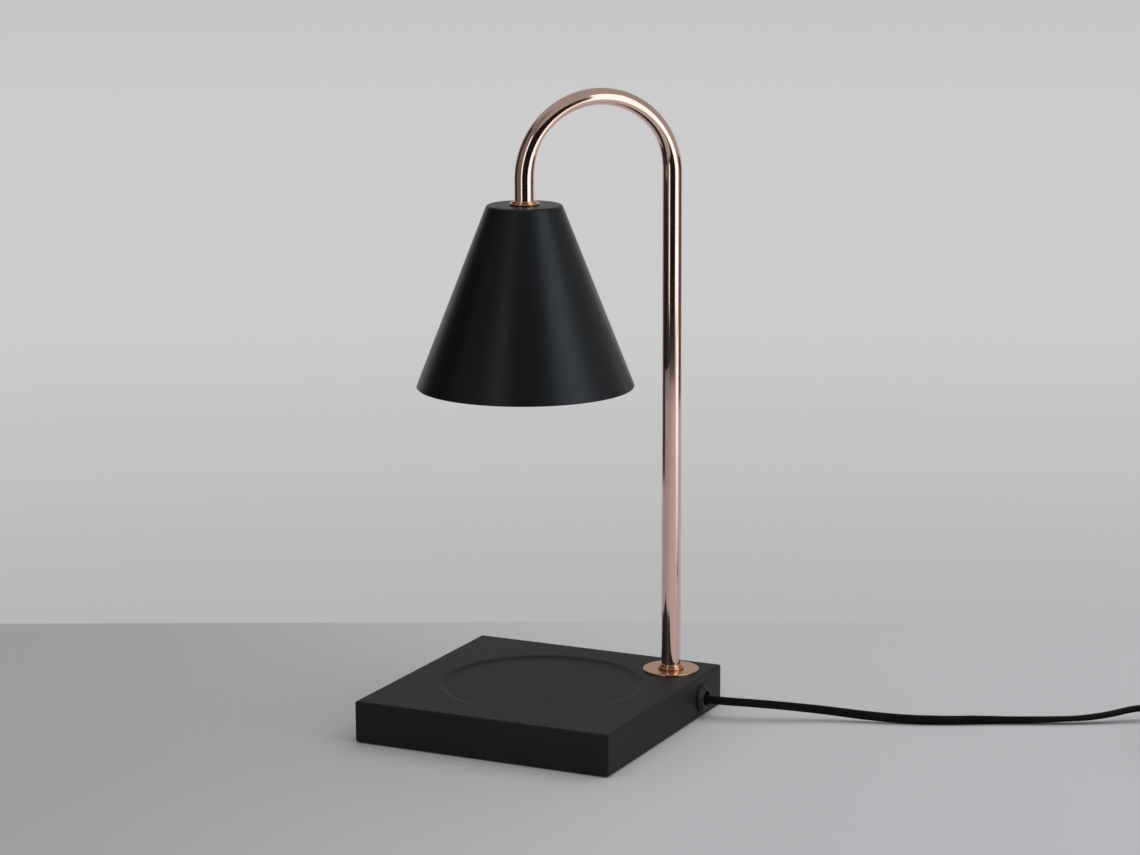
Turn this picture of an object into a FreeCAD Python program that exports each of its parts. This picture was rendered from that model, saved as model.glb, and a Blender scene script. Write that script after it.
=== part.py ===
import FreeCAD, Part
import math
import os
import Sketcher

# Candle warmer lamp: a square pressed-steel base with a shallow round seat for a
# candle jar, a rose-gold gooseneck that rises from the base's back right corner
# and bends over along the base's diagonal, and a conical shade with a GU10
# halogen bulb that melts the candle from above.  The flat flex leaves the base's
# right side and carries a thumbwheel dimmer, a tied coil and a two-pin plug.
#
# Frame: millimetres, +Z up, origin under the middle of the base on the surface
# that it stands on, front of the base facing -Y.

# ---------------------------------------------------------------- driving sizes

SIZES = {
    # base
    "base_side": 150.0,
    "base_top": 23.1,
    "base_wall": 1.2,
    "base_corner": 1.6,
    "base_edge": 1.2,
    "foot_gap": 0.8,
    "seat_radius": 55.6,
    "seat_slope": 2.4,
    "seat_depth": 1.2,
    "seat_blend": 1.6,
    "plate_inset": 0.8,
    "plate_thickness": 1.5,
    "plate_gap": 0.4,
    "post_inset": 9.0,
    "post_radius": 3.5,
    "foot_inset": 19.0,
    "foot_radius": 6.5,
    "weight_inset": 15.0,
    "weight_height": 8.0,
    "weight_screw_inset": 35.0,
    "bay_length": 83.0,
    "bay_width": 41.0,
    # M4 and M3 screws
    "screw_radius": 1.65,
    "screw_head": 3.6,
    "screw_head_height": 1.1,
    "screw_grip": 6.0,
    "small_radius": 1.3,
    "small_head": 2.6,
    "small_head_height": 1.4,
    "cross_arm": 1.5,
    "cross_width": 0.7,
    "cross_depth": 0.6,
    "hole_play": 0.1,
    "pass_play": 0.5,
    # stem
    "stem_inset": 21.2,
    "stem_angle": 225.0,
    "stem_radius": 5.4,
    "stem_wall": 1.0,
    "stem_bend": 42.1,
    "stem_bend_height": 299.9,
    "stem_play": 0.1,
    "flange_radius": 15.5,
    "flange_height": 1.0,
    "collar_radius": 7.5,
    "collar_height": 1.5,
    "collar_step": 1.1,
    "collar_step_height": 1.2,
    "collar_round": 0.3,
    "washer_radius": 8.6,
    "washer_height": 1.0,
    "nut_flats": 14.0,
    "nut_height": 3.6,
    "thread_end": 1.4,
    "bush_bore": 3.1,
    "bush_length": 6.0,
    "bush_lip": 0.8,
    "bush_play": 0.1,
    # shade
    "shade_top": 286.9,
    "shade_height": 98.0,
    "shade_top_radius": 20.2,
    "shade_bottom_radius": 58.7,
    "shade_wall": 0.9,
    "shade_round": 1.6,
    "ring_radius": 8.0,
    "ring_height": 1.1,
    "ring_step": 1.5,
    "ring_step_height": 1.0,
    # lamp holder
    "bracket_thickness": 1.0,
    "bracket_width": 14.0,
    "bracket_leg": 19.5,
    "holder_radius": 13.7,
    "holder_height": 16.0,
    "holder_face": 2.2,
    "holder_top_gap": 10.4,
    "holder_play": 0.2,
    "cavity_radius": 9.0,
    "cavity_height": 8.0,
    "pin_circle": 5.0,
    "pin_radius": 1.5,
    "pin_head": 2.4,
    "pin_head_height": 2.2,
    "pin_play": 0.35,
    "twist": 40.0,
    "contact_width": 4.0,
    "side_screw_drop": 6.0,
    # bulb
    "bulb_gap": 0.3,
    "cap_radius": 12.6,
    "cap_height": 11.0,
    "bulb_radius": 25.0,
    "bulb_length": 46.5,
    "bulb_neck": 13.4,
    "bulb_wall": 1.2,
    "bulb_rim": 3.2,
    "lens_height": 1.8,
    "capsule_radius": 4.5,
    "capsule_length": 24.0,
    "capsule_round": 3.6,
    "neck_length": 3.6,
    # cord bushing in the base's right side
    "bushing_inset": 27.0,
    "bushing_z": 10.8,
    "bushing_flange": 7.5,
    "bushing_nose": 5.6,
    "bushing_reach": 3.1,
    "bushing_brim": 1.1,
    "bushing_round": 0.6,
    "bushing_bore": 4.1,
    "bushing_barrel": 5.2,
    "bushing_length": 8.0,
    "bushing_play": 0.1,
    "bushing_nut": 13.6,
    "bushing_nut_height": 3.0,
    # flex and the wires inside
    "flex_width": 5.4,
    "flex_thickness": 3.2,
    "flex_drop": 0.6,
    "flex_length_inside": 61.0,
    "anchor_inset": 50.0,
    "anchor_length": 10.0,
    "anchor_width": 18.0,
    "anchor_bar": 2.6,
    "anchor_screw": 6.2,
    "wire_radius": 0.95,
    "wire_bend": 3.8,
    "wire_reach": 6.0,
    "wire_step": 2.0,
    "core_loop": 9.1,
    "core_step": 2.8,
    "core_bend": 4.0,
    "block_inset_x": 49.0,
    "block_inset_y": 10.0,
    "block_length": 12.0,
    "block_width": 14.0,
    "block_height": 10.0,
    "block_pitch": 7.0,
    "lead_spread": 1.3,
    # thumbwheel dimmer on the flex
    "dimmer_x": 361.2,
    "dimmer_y": 155.6,
    "dimmer_angle": 10.0,
    "dimmer_length": 70.0,
    "dimmer_width": 30.0,
    "dimmer_height": 20.0,
    "dimmer_wall": 2.0,
    "dimmer_corner": 7.0,
    "dimmer_edge": 3.0,
    "dimmer_seam": 0.15,
    "dimmer_cord_height": 8.5,
    "wheel_radius": 11.0,
    "wheel_proud": 3.0,
    "wheel_height": 4.6,
    "wheel_play": 0.5,
    "wheel_notch": 0.55,
    "shaft_radius": 2.5,
    "shaft_play": 0.05,
    "shaft_length": 9.4,
    "shaft_socket": 3.1,
    "pot_radius": 5.5,
    "board_length": 44.0,
    "board_width": 22.0,
    "board_thickness": 1.6,
    "board_lift": 1.0,
    "board_rib_x": 17.6,
    "board_rib_width": 19.8,
    "triac_x": 15.8,
    "triac_length": 4.4,
    "triac_width": 9.9,
    "choke_x": 15.8,
    "choke_y": 1.1,
    "choke_radius": 3.2,
    "choke_height": 4.9,
    "capacitor_x": 5.3,
    "capacitor_y": 7.9,
    "capacitor_length": 12.3,
    "capacitor_width": 4.4,
    "capacitor_height": 5.9,
    "pillar_radius": 2.8,
    "pillar_x": 27.5,
    "pillar_y": 8.6,
    "pilot_depth": 5.5,
    "head_recess": 2.1,
    # strain reliefs
    "boot_radius": 4.6,
    "boot_tip": 3.7,
    "boot_length": 20.0,
    "boot_play": 0.3,
    "boot_groove": 0.5,
    "boot_grip": 10.0,
    # coil and plug
    "coil_x": 424.0,
    "coil_y": 64.0,
    "coil_middle": 29.9,
    "coil_width": 13.8,
    "coil_height": 10.8,
    "tie_thickness": 0.6,
    "tie_width": 9.0,
    "tie_angle": 150.0,
    "plug_x": 339.3,
    "plug_y": 75.5,
    "plug_angle": 100.0,
    "plug_length": 32.0,
    "plug_width": 26.0,
    "plug_height": 15.0,
    "plug_round": 4.0,
    "plug_shoulder": 11.2,
    "plug_waist": 8.1,
    "plug_boot_length": 20.0,
    "plug_boot_radius": 5.2,
    "blade_length": 17.0,
    "blade_width": 6.3,
    "blade_thickness": 1.5,
    "blade_pitch": 12.7,
    "blade_hole": 1.6,
    "blade_hole_place": 13.6,
}

# Route of the flex from the bushing to the dimmer, chosen by hand: it leaves the
# base level, comes down to the surface in about 100 mm and rises into the dimmer.
LAMP_ROUTE = [
    (67.0, 48.0, 10.2),
    (84.0, 48.2, 10.2),
    (102.6, 53.5, 9.7),
    (121.4, 61.8, 8.0),
    (141.2, 70.5, 5.7),
    (162.0, 76.4, 3.7),
    (183.0, 82.0, 2.75),
    (203.0, 89.9, 2.75),
    (223.8, 101.5, 2.75),
    (249.4, 113.2, 2.75),
    (276.5, 127.4, 3.3),
    (299.1, 144.6, 8.5),
    (316.8, 147.7, 8.5),
]

# From the dimmer round to the coil, and from the coil to the plug.
COIL_ROUTE = [
    (405.5, 163.4, 8.5),
    (423.2, 166.5, 8.5),
    (444.0, 166.2, 5.6),
    (461.0, 156.4, 3.7),
    (469.5, 138.5, 2.9),
    (468.5, 117.0, 2.8),
    (464.2, 94.0, 2.9),
    (459.9, 77.5, 3.2),
    (459.2, 64.0, 3.3),
]
PLUG_ROUTE = [
    (424.0, 28.8, 8.7),
    (401.0, 28.0, 7.9),
    (385.0, 26.4, 4.3),
    (369.5, 26.8, 2.75),
    (354.3, 34.2, 3.9),
    (344.2, 47.9, 7.5),
    (341.1, 65.6, 7.5),
]

ARC_SHARE = 0.45  # share of the shorter run that an arc of the flex takes up
BOOT_RIBS = 5
RIB_SHARE = 0.6  # share of a rib and the groove beside it that is rib
WHEEL_NOTCHES = 36

# Outside of the bulb's glass: share of the spread and share of the way down.
BELL = [(0.0, 0.0), (0.14, 0.36), (0.4, 0.7), (0.74, 0.92), (1.0, 1.0)]

os.makedirs("parts", exist_ok=True)
doc = FreeCAD.newDocument("candle_warmer_lamp")
Vector = FreeCAD.Vector


# ------------------------------------------------------- values with expressions

class Size:
    """A number together with the sheet expression that it comes from."""

    def __init__(self, value, text):
        self.value = float(value)
        self.text = text

    def __add__(self, other):
        return joined(self, "+", other)

    def __radd__(self, other):
        return joined(other, "+", self)

    def __sub__(self, other):
        return joined(self, "-", other)

    def __rsub__(self, other):
        return joined(other, "-", self)

    def __mul__(self, other):
        return joined(self, "*", other)

    def __rmul__(self, other):
        return joined(other, "*", self)

    def __truediv__(self, other):
        return joined(self, "/", other)

    def __neg__(self):
        return joined(-1, "*", self)


def sized(thing):
    """A plain number as a Size."""
    if isinstance(thing, Size):
        return thing
    return Size(thing, "(%r)" % float(thing))


def joined(left, sign, right):
    """The Size of an arithmetic step, as a value and as sheet text."""
    left = sized(left)
    right = sized(right)
    if sign == "+":
        value = left.value + right.value
    elif sign == "-":
        value = left.value - right.value
    elif sign == "*":
        value = left.value * right.value
    else:
        value = left.value / right.value
    return Size(value, "(%s %s %s)" % (left.text, sign, right.text))


def cosine(angle):
    angle = sized(angle)
    return Size(math.cos(math.radians(angle.value)), "cos(%s)" % angle.text)


def sine(angle):
    angle = sized(angle)
    return Size(math.sin(math.radians(angle.value)), "sin(%s)" % angle.text)


class Sheet:
    """The spreadsheet's cells as Size values, read as attributes."""

    def __init__(self, sizes):
        cells = doc.addObject("Spreadsheet::Sheet", "Sizes")
        for row, (name, value) in enumerate(sizes.items(), start=1):
            cells.set("A%d" % row, name)
            cells.set("B%d" % row, repr(value))
            cells.setAlias("B%d" % row, name)
            setattr(self, name, Size(value, "Sizes." + name))
        doc.recompute()


s = Sheet(SIZES)


# -------------------------------------------------------------- modelling helpers

def bind(thing, name, size):
    """Set a property or a datum and tie it to the sheet."""
    thing.setExpression(name, sized(size).text)


def place(thing, x=0, y=0, z=0, angle=0):
    """Put a body at x, y, z, turned by angle about the upright axis."""
    values = [sized(v) for v in (x, y, z, angle)]
    turn = FreeCAD.Rotation(Vector(0, 0, 1), values[3].value)
    thing.Placement = FreeCAD.Placement(Vector(*[v.value for v in values[:3]]), turn)
    for axis, value in zip("xyz", values[:3]):
        bind(thing, "Placement.Base." + axis, value)
    if values[3].value:
        bind(thing, "Placement.Rotation.Angle", values[3])


def new_body(label, x=0, y=0, z=0, angle=0):
    """A body whose label is the sub-part's name."""
    body = doc.addObject("PartDesign::Body", label)
    body.Label = label
    place(body, x, y, z, angle)
    return body


def lying_body(label, x, y, z, heading=0, back=False):
    """A body whose own +Z points level along heading, or against it if back."""
    body = new_body(label, x, y, z)
    tip = FreeCAD.Rotation(Vector(0, 1, 0), -90 if back else 90)
    turn = FreeCAD.Rotation(Vector(0, 0, 1), sized(heading).value).multiply(tip)
    body.Placement = FreeCAD.Placement(body.Placement.Base, turn)
    return body


def sketch_on(body, plane, height=0):
    """An empty sketch on one of the body's own origin planes, raised by height."""
    planes = [item for item in body.Origin.OriginFeatures if item.Role == plane + "_Plane"]
    sketch = body.newObject("Sketcher::SketchObject", body.Label + "_sketch")
    sketch.AttachmentSupport = (planes[0], [""])
    sketch.MapMode = "FlatFace"
    sketch.AttachmentOffset = FreeCAD.Placement(Vector(0, 0, sized(height).value), FreeCAD.Rotation())
    bind(sketch, "AttachmentOffset.Base.z", height)
    return sketch


def pin_point(sketch, item, end, x=None, y=None):
    """Fix a point of a sketch by driven distances x and y from the origin."""
    for kind, value in (("DistanceX", x), ("DistanceY", y)):
        if value is None:
            continue
        value = sized(value)
        index = sketch.addConstraint(Sketcher.Constraint(kind, -1, 1, item, end, value.value))
        bind(sketch, "Constraints[%d]" % index, value)


def draw_polygon(sketch, points):
    """A closed outline of straight edges through points."""
    points = [(sized(x), sized(y)) for x, y in points]
    first = sketch.GeometryCount
    count = len(points)
    for index in range(count):
        a = points[index]
        b = points[(index + 1) % count]
        line = Part.LineSegment(Vector(a[0].value, a[1].value, 0), Vector(b[0].value, b[1].value, 0))
        sketch.addGeometry(line, False)
    for index in range(count):
        after = first + (index + 1) % count
        sketch.addConstraint(Sketcher.Constraint("Coincident", first + index, 2, after, 1))
    for index, (x, y) in enumerate(points):
        pin_point(sketch, first + index, 1, x, y)


def draw_box(sketch, x, y, length, width):
    """A rectangle about x, y."""
    left, right = x - length / 2, x + length / 2
    low, high = y - width / 2, y + width / 2
    draw_polygon(sketch, [(left, low), (right, low), (right, high), (left, high)])


def draw_circle(sketch, x, y, radius):
    """A circle about x, y."""
    x, y, radius = sized(x), sized(y), sized(radius)
    circle = Part.Circle(Vector(x.value, y.value, 0), Vector(0, 0, 1), radius.value)
    item = sketch.addGeometry(circle, False)
    pin_point(sketch, item, 3, x, y)
    index = sketch.addConstraint(Sketcher.Constraint("Radius", item, radius.value))
    bind(sketch, "Constraints[%d]" % index, radius)


def draw_hexagon(sketch, x, y, flats, turn=0):
    """A hexagon with two flats square to the sketch's y axis, turned by an angle."""
    corner = flats / 2 / math.cos(math.radians(30))
    points = []
    for step in range(6):
        way = math.radians(60 * step + turn)
        points.append((x + corner * math.cos(way), y + corner * math.sin(way)))
    draw_polygon(sketch, points)


def draw_cross(sketch, x, y):
    """The cross recess of a screw's head."""
    long, short = s.cross_arm, s.cross_width / 2
    steps = [(long, short), (short, short), (short, long)]
    points = []
    for turn_x, turn_y in ((1, 1), (-1, 1), (-1, -1), (1, -1)):
        corner = [(x + turn_x * a, y + turn_y * b) for a, b in steps]
        points += corner if turn_x * turn_y > 0 else corner[::-1]
    draw_polygon(sketch, points)


def extrude(kind, sketch, length, down=False):
    """A Pad or Pocket of a sketch."""
    body = sketch.getParentGeoFeatureGroup()
    feature = body.newObject("PartDesign::" + kind, body.Label + "_" + kind.lower())
    feature.Profile = sketch
    feature.Length = sized(length).value
    feature.Reversed = down
    bind(feature, "Length", length)
    sketch.Visibility = False
    return feature


def pad(sketch, length, down=False):
    return extrude("Pad", sketch, length, down)


def pocket(sketch, length, up=False):
    """Cut a sketch into the solid: downwards, or upwards if up."""
    return extrude("Pocket", sketch, length, up)


def turn_about(kind, sketch, angle=360, back=False):
    """A Revolution or Groove of a sketch about its upright axis."""
    body = sketch.getParentGeoFeatureGroup()
    feature = body.newObject("PartDesign::" + kind, body.Label + "_" + kind.lower())
    feature.Profile = sketch
    feature.ReferenceAxis = (sketch, ["V_Axis"])
    feature.Angle = sized(angle).value
    feature.Reversed = back
    if isinstance(angle, Size):
        bind(feature, "Angle", angle)
    sketch.Visibility = False
    return feature


def revolved(body, points):
    """Turn a closed outline of (radius, height) points about the body's upright axis."""
    sketch = sketch_on(body, "XZ")
    draw_polygon(sketch, points)
    return turn_about("Revolution", sketch)


def grooved(body, points):
    """Turn a closed outline out of the body."""
    sketch = sketch_on(body, "XZ")
    draw_polygon(sketch, points)
    return turn_about("Groove", sketch)


def round_edges(feature, wanted, radius):
    """Fillet the edges of a feature for which wanted(edge) holds."""
    doc.recompute()
    body = feature.getParentGeoFeatureGroup()
    names = ["Edge%d" % (i + 1) for i, edge in enumerate(feature.Shape.Edges) if wanted(edge)]
    if not names:
        raise RuntimeError("no edge to round on " + body.Label)
    fillet = body.newObject("PartDesign::Fillet", body.Label + "_fillet")
    fillet.Base = (feature, names)
    fillet.Radius = sized(radius).value
    bind(fillet, "Radius", radius)
    doc.recompute()
    return fillet


CLOSE = 1e-3  # how near a sought edge has to lie to its place


def rim_at(radius, height):
    """Tells the full circle about the upright axis with this radius and height."""
    radius, height = sized(radius).value, sized(height).value

    def wanted(edge):
        if not isinstance(edge.Curve, Part.Circle):
            return False
        centre = edge.Curve.Center
        near_axis = math.hypot(centre.x, centre.y) < CLOSE
        return near_axis and abs(centre.z - height) < CLOSE and abs(edge.Curve.Radius - radius) < CLOSE

    return wanted


def any_of(*tests):
    return lambda edge: any(test(edge) for test in tests)


def upright_at(half_x, half_y):
    """Tells the upright corner edges of a box."""
    half_x, half_y = sized(half_x).value, sized(half_y).value

    def wanted(edge):
        a, b = edge.Vertexes[0].Point, edge.Vertexes[-1].Point
        upright = math.hypot(a.x - b.x, a.y - b.y) < CLOSE and abs(a.z - b.z) > CLOSE
        return upright and abs(abs(a.x) - half_x) < CLOSE and abs(abs(a.y) - half_y) < CLOSE

    return wanted


def level_at(height, reach):
    """Tells the outer edges at one height that lie reach or more from the middle."""
    height, reach = sized(height).value, sized(reach).value

    def wanted(edge):
        box = edge.BoundBox
        flat = abs(box.ZMin - height) < CLOSE and abs(box.ZMax - height) < CLOSE
        return flat and max(abs(box.XMin), abs(box.XMax), abs(box.YMin), abs(box.YMax)) > reach - CLOSE

    return wanted


def copies_round(features, count):
    """Repeat features about the body's upright axis."""
    doc.recompute()
    body = features[0].getParentGeoFeatureGroup()
    pattern = body.newObject("PartDesign::PolarPattern", body.Label + "_pattern")
    pattern.Originals = features
    axes = [item for item in body.Origin.OriginFeatures if item.Role == "Z_Axis"]
    pattern.Axis = (axes[0], [""])
    pattern.Angle = 360
    pattern.Occurrences = count
    body.Tip = pattern
    doc.recompute()
    return pattern


def tube_ring(body, inner, outer, low, height):
    """A plain ring about the upright axis."""
    sketch = sketch_on(body, "XY", low)
    draw_circle(sketch, 0, 0, outer)
    draw_circle(sketch, 0, 0, inner)
    return pad(sketch, height)


def hex_nut(label, x, y, low, flats, bore, height, angle=0):
    """A hexagon nut lying level."""
    body = new_body(label, x, y, low, angle)
    sketch = sketch_on(body, "XY")
    draw_hexagon(sketch, 0, 0, flats)
    draw_circle(sketch, 0, 0, bore)
    pad(sketch, height)
    return body


def screws(label, places, head_face, head_height, head_radius, radius, length, up=True):
    """Pan-head screws: the heads start at head_face, and the shanks go on from them."""
    body = new_body(label)
    way = 1 if up else -1
    heads = sketch_on(body, "XY", head_face)
    shanks = sketch_on(body, "XY", head_face + way * head_height)
    recesses = sketch_on(body, "XY", head_face)
    for x, y in places:
        draw_circle(heads, x, y, head_radius)
        draw_circle(shanks, x, y, radius)
        draw_cross(recesses, x, y)
    pad(heads, head_height, down=not up)
    pad(shanks, length, down=not up)
    pocket(recesses, s.cross_depth, up=up)
    return body


def square_places(x, y=None):
    """The four places (+-x, +-y)."""
    y = x if y is None else y
    return [(x, y), (-x, y), (-x, -y), (x, -y)]


def solid_feature(label, shape):
    """A shape made with Part's own functions, as an object with its own label."""
    feature = doc.addObject("Part::Feature", label)
    feature.Label = label
    feature.Shape = shape
    return feature


# --------------------------------------------------------------- derived places

base_half = s.base_side / 2
sheet_under = s.base_top - s.base_wall
plate_low = s.foot_gap + s.plate_inset
plate_top = plate_low + s.plate_thickness
seat_floor = s.base_top - s.seat_depth
post_place = base_half - s.post_inset
foot_place = base_half - s.foot_inset
stem_place = base_half - s.stem_inset
stem_hole = s.stem_radius + s.stem_play
shade_x = stem_place + 2 * s.stem_bend * cosine(s.stem_angle)
shade_y = stem_place + 2 * s.stem_bend * sine(s.stem_angle)
nut_low = sheet_under - s.washer_height - s.nut_height
stem_low = nut_low - s.thread_end
shade_under = s.shade_top - s.shade_wall
bracket_top = shade_under - s.washer_height
upper_nut_low = bracket_top - s.bracket_thickness - s.nut_height
stem_end = upper_nut_low - s.thread_end
holder_top = upper_nut_low - s.holder_top_gap + s.thread_end
holder_low = holder_top - s.holder_height
face_low = holder_low - s.holder_face
bulb_top = face_low - s.bulb_gap
bulb_low = bulb_top - s.bulb_length
bushing_y = base_half - s.bushing_inset
flex_height = s.bushing_z - s.flex_drop
flex_end = base_half - s.flex_length_inside
anchor_x = base_half - s.anchor_inset
block_x = base_half - s.block_inset_x
block_y = base_half - s.block_inset_y
block_mouth = plate_top + s.block_height / 2


# ------------------------------------------------------------------------ base

def make_base_shell():
    """Pressed steel tray: flat top with a round candle seat, open below."""
    body = new_body("base_shell")
    outline = sketch_on(body, "XY", s.foot_gap)
    draw_box(outline, sized(0), sized(0), s.base_side, s.base_side)
    block = pad(outline, s.base_top - s.foot_gap)
    block = round_edges(block, upright_at(base_half, base_half), s.base_corner)
    round_edges(block, level_at(s.base_top, base_half - s.base_corner), s.base_edge)
    hollow = sketch_on(body, "XY", s.foot_gap)
    inner = s.base_side - 2 * s.base_wall
    draw_box(hollow, sized(0), sized(0), inner, inner)
    pocket(hollow, sheet_under - s.foot_gap, up=True)
    floor_radius = s.seat_radius - s.seat_slope
    revolved(body, [
        (0, seat_floor - s.base_wall),
        (floor_radius, seat_floor - s.base_wall),
        (s.seat_radius, sheet_under),
        (s.seat_radius, sheet_under + s.base_wall / 2),
        (0, sheet_under + s.base_wall / 2),
    ])
    seat = grooved(body, [
        (0, seat_floor),
        (floor_radius, seat_floor),
        (s.seat_radius, s.base_top),
        (0, s.base_top),
    ])
    edges = any_of(rim_at(s.seat_radius, s.base_top), rim_at(floor_radius, seat_floor))
    round_edges(seat, edges, s.seat_blend)
    stem = sketch_on(body, "XY", s.base_top)
    draw_circle(stem, stem_place, stem_place, stem_hole)
    pocket(stem, s.base_wall * 2)
    side = sketch_on(body, "YZ", base_half)
    draw_circle(side, bushing_y, s.bushing_z, s.bushing_barrel + s.bushing_play)
    pocket(side, s.base_wall * 2)
    return body


def make_posts():
    """Four tapped posts welded under the tray's top."""
    body = new_body("base_posts")
    outline = sketch_on(body, "XY", plate_top)
    bores = sketch_on(body, "XY", plate_top)
    for x, y in square_places(post_place):
        draw_circle(outline, x, y, s.post_radius)
        draw_circle(bores, x, y, s.screw_radius + s.hole_play)
    pad(outline, sheet_under - plate_top)
    pocket(bores, s.screw_grip + s.screw_grip / 2, up=True)
    return body


def anchor_places():
    return [(anchor_x, bushing_y + s.anchor_screw), (anchor_x, bushing_y - s.anchor_screw)]


def weight_places():
    w = base_half - s.weight_screw_inset
    return [(-w, -w), (w, -w), (-w, w)]


def make_base_plate():
    """Steel plate that closes the tray and carries the weight and the cord anchor."""
    body = new_body("base_plate")
    side = s.base_side - 2 * s.base_wall - 2 * s.plate_gap
    outline = sketch_on(body, "XY", plate_low)
    draw_box(outline, sized(0), sized(0), side, side)
    pad(outline, s.plate_thickness)
    holes = sketch_on(body, "XY", plate_top)
    for x, y in square_places(post_place) + weight_places():
        draw_circle(holes, x, y, s.screw_radius + s.pass_play)
    for x, y in anchor_places():
        draw_circle(holes, x, y, s.small_radius + s.hole_play)
    pocket(holes, s.plate_thickness * 2)
    return body


def make_weight():
    """Cast-iron weight with a bay for the wiring at the stem's corner."""
    body = new_body("counterweight")
    half = base_half - s.weight_inset
    bay_x = base_half - s.bay_length
    bay_y = base_half - s.bay_width
    outline = sketch_on(body, "XY", plate_top)
    draw_polygon(outline, [
        (-half, -half), (half, -half), (half, bay_y),
        (bay_x, bay_y), (bay_x, half), (-half, half),
    ])
    block = pad(outline, s.weight_height)
    round_edges(block, upright_at(half, half), s.weight_height / 2)
    holes = sketch_on(body, "XY", plate_top)
    for x, y in weight_places():
        draw_circle(holes, x, y, s.screw_radius + s.hole_play)
    pocket(holes, s.weight_height, up=True)
    return body


def make_feet():
    """Four stick-on rubber pads."""
    body = new_body("foot_pads")
    outline = sketch_on(body, "XY")
    for x, y in square_places(foot_place):
        draw_circle(outline, x, y, s.foot_radius)
    pad(outline, plate_low)
    return body


def make_base():
    make_base_shell()
    make_posts()
    make_base_plate()
    make_weight()
    make_feet()
    head_face = plate_low - s.screw_head_height
    length = s.plate_thickness + s.screw_grip
    sizes = (head_face, s.screw_head_height, s.screw_head, s.screw_radius)
    screws("base_screws", square_places(post_place), *sizes, length)
    screws("weight_screws", weight_places(), *sizes, length)


# ------------------------------------------------------------------------ stem

def stem_route(body, start, end):
    """The gooseneck's centre line as a sketch: up, over and down."""
    sketch = sketch_on(body, "XZ")
    top = s.stem_bend_height
    far = 2 * s.stem_bend
    up = Part.LineSegment(Vector(0, start.value, 0), Vector(0, top.value, 0))
    bend = Part.Arc(
        Vector(0, top.value, 0),
        Vector(s.stem_bend.value, top.value + s.stem_bend.value, 0),
        Vector(far.value, top.value, 0))
    down = Part.LineSegment(Vector(far.value, top.value, 0), Vector(far.value, end.value, 0))
    sketch.addGeometry([up, bend, down], False)
    pin_point(sketch, 0, 1, 0, start)
    pin_point(sketch, 0, 2, 0, top)
    pin_point(sketch, 1, 3, s.stem_bend, top)
    sketch.addConstraint(Sketcher.Constraint("Coincident", 1, 2, 0, 2))
    sketch.addConstraint(Sketcher.Constraint("Coincident", 1, 1, 2, 1))
    pin_point(sketch, 2, 1, y=top)
    pin_point(sketch, 2, 2, far, end)
    return sketch


def make_stem_tube():
    """Rose-gold steel tube, bent once over the half circle."""
    body = new_body("stem_tube", stem_place, stem_place, 0, s.stem_angle)
    section = sketch_on(body, "XY", stem_low)
    draw_circle(section, 0, 0, s.stem_radius)
    draw_circle(section, 0, 0, s.stem_radius - s.stem_wall)
    route = stem_route(body, stem_low, stem_end)
    doc.recompute()
    sweep = body.newObject("PartDesign::AdditivePipe", "stem_sweep")
    sweep.Profile = section
    sweep.Spine = (route, ["Edge%d" % (i + 1) for i in range(len(route.Shape.Edges))])
    return body


def make_stem_bush(label, x, y, end, way):
    """Plastic bush that keeps the wires off the tube's cut end."""
    lip = end - way * s.bush_lip
    barrel = s.stem_radius - s.stem_wall - s.bush_play
    body = new_body(label, x, y)
    revolved(body, [
        (s.bush_bore, lip), (s.stem_radius, lip), (s.stem_radius, end), (barrel, end),
        (barrel, end + way * s.bush_length), (s.bush_bore, end + way * s.bush_length),
    ])
    return body


def make_flange():
    """Thin rose-gold disc under the stem."""
    body = new_body("stem_flange", stem_place, stem_place)
    ring = tube_ring(body, stem_hole, s.flange_radius, s.base_top, s.flange_height)
    round_edges(ring, rim_at(s.flange_radius, s.base_top + s.flange_height), s.collar_round)


def stepped_ring(label, x, y, low, radius, height, step, step_height):
    """A turned ring in two steps with softened rims."""
    body = new_body(label, x, y)
    upper = radius - step
    top = low + height + step_height
    ring = revolved(body, [
        (stem_hole, low), (radius, low), (radius, low + height),
        (upper, low + height), (upper, top), (stem_hole, top),
    ])
    round_edges(ring, any_of(rim_at(radius, low + height), rim_at(upper, top)), s.collar_round)
    return body


def make_stem():
    make_stem_tube()
    make_flange()
    stepped_ring("stem_collar", stem_place, stem_place, s.base_top + s.flange_height,
                 s.collar_radius, s.collar_height, s.collar_step, s.collar_step_height)
    washer = new_body("stem_washer", stem_place, stem_place)
    tube_ring(washer, stem_hole, s.washer_radius, sheet_under - s.washer_height, s.washer_height)
    hex_nut("stem_nut", stem_place, stem_place, nut_low, s.nut_flats, stem_hole, s.nut_height)
    make_stem_bush("stem_bush_lower", stem_place, stem_place, stem_low, 1)
    make_stem_bush("stem_bush_upper", shade_x, shade_y, stem_end, 1)


# ----------------------------------------------------------------------- shade

def make_shade():
    """Spun steel cone with a flat top."""
    body = new_body("shade", shade_x, shade_y)
    low = s.shade_top - s.shade_height
    flare = s.shade_bottom_radius - s.shade_top_radius
    lean = math.atan2(flare.value, s.shade_height.value)
    wall_across = s.shade_wall / math.cos(lean)
    inner_top = s.shade_top_radius + flare * s.shade_wall / s.shade_height - wall_across
    cone = revolved(body, [
        (stem_hole, shade_under), (inner_top, shade_under),
        (s.shade_bottom_radius - wall_across, low), (s.shade_bottom_radius, low),
        (s.shade_top_radius, s.shade_top), (stem_hole, s.shade_top),
    ])
    outer = round_edges(cone, rim_at(s.shade_top_radius, s.shade_top), s.shade_round)
    round_edges(outer, rim_at(inner_top, shade_under), s.shade_round - s.shade_wall)
    return body


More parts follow.
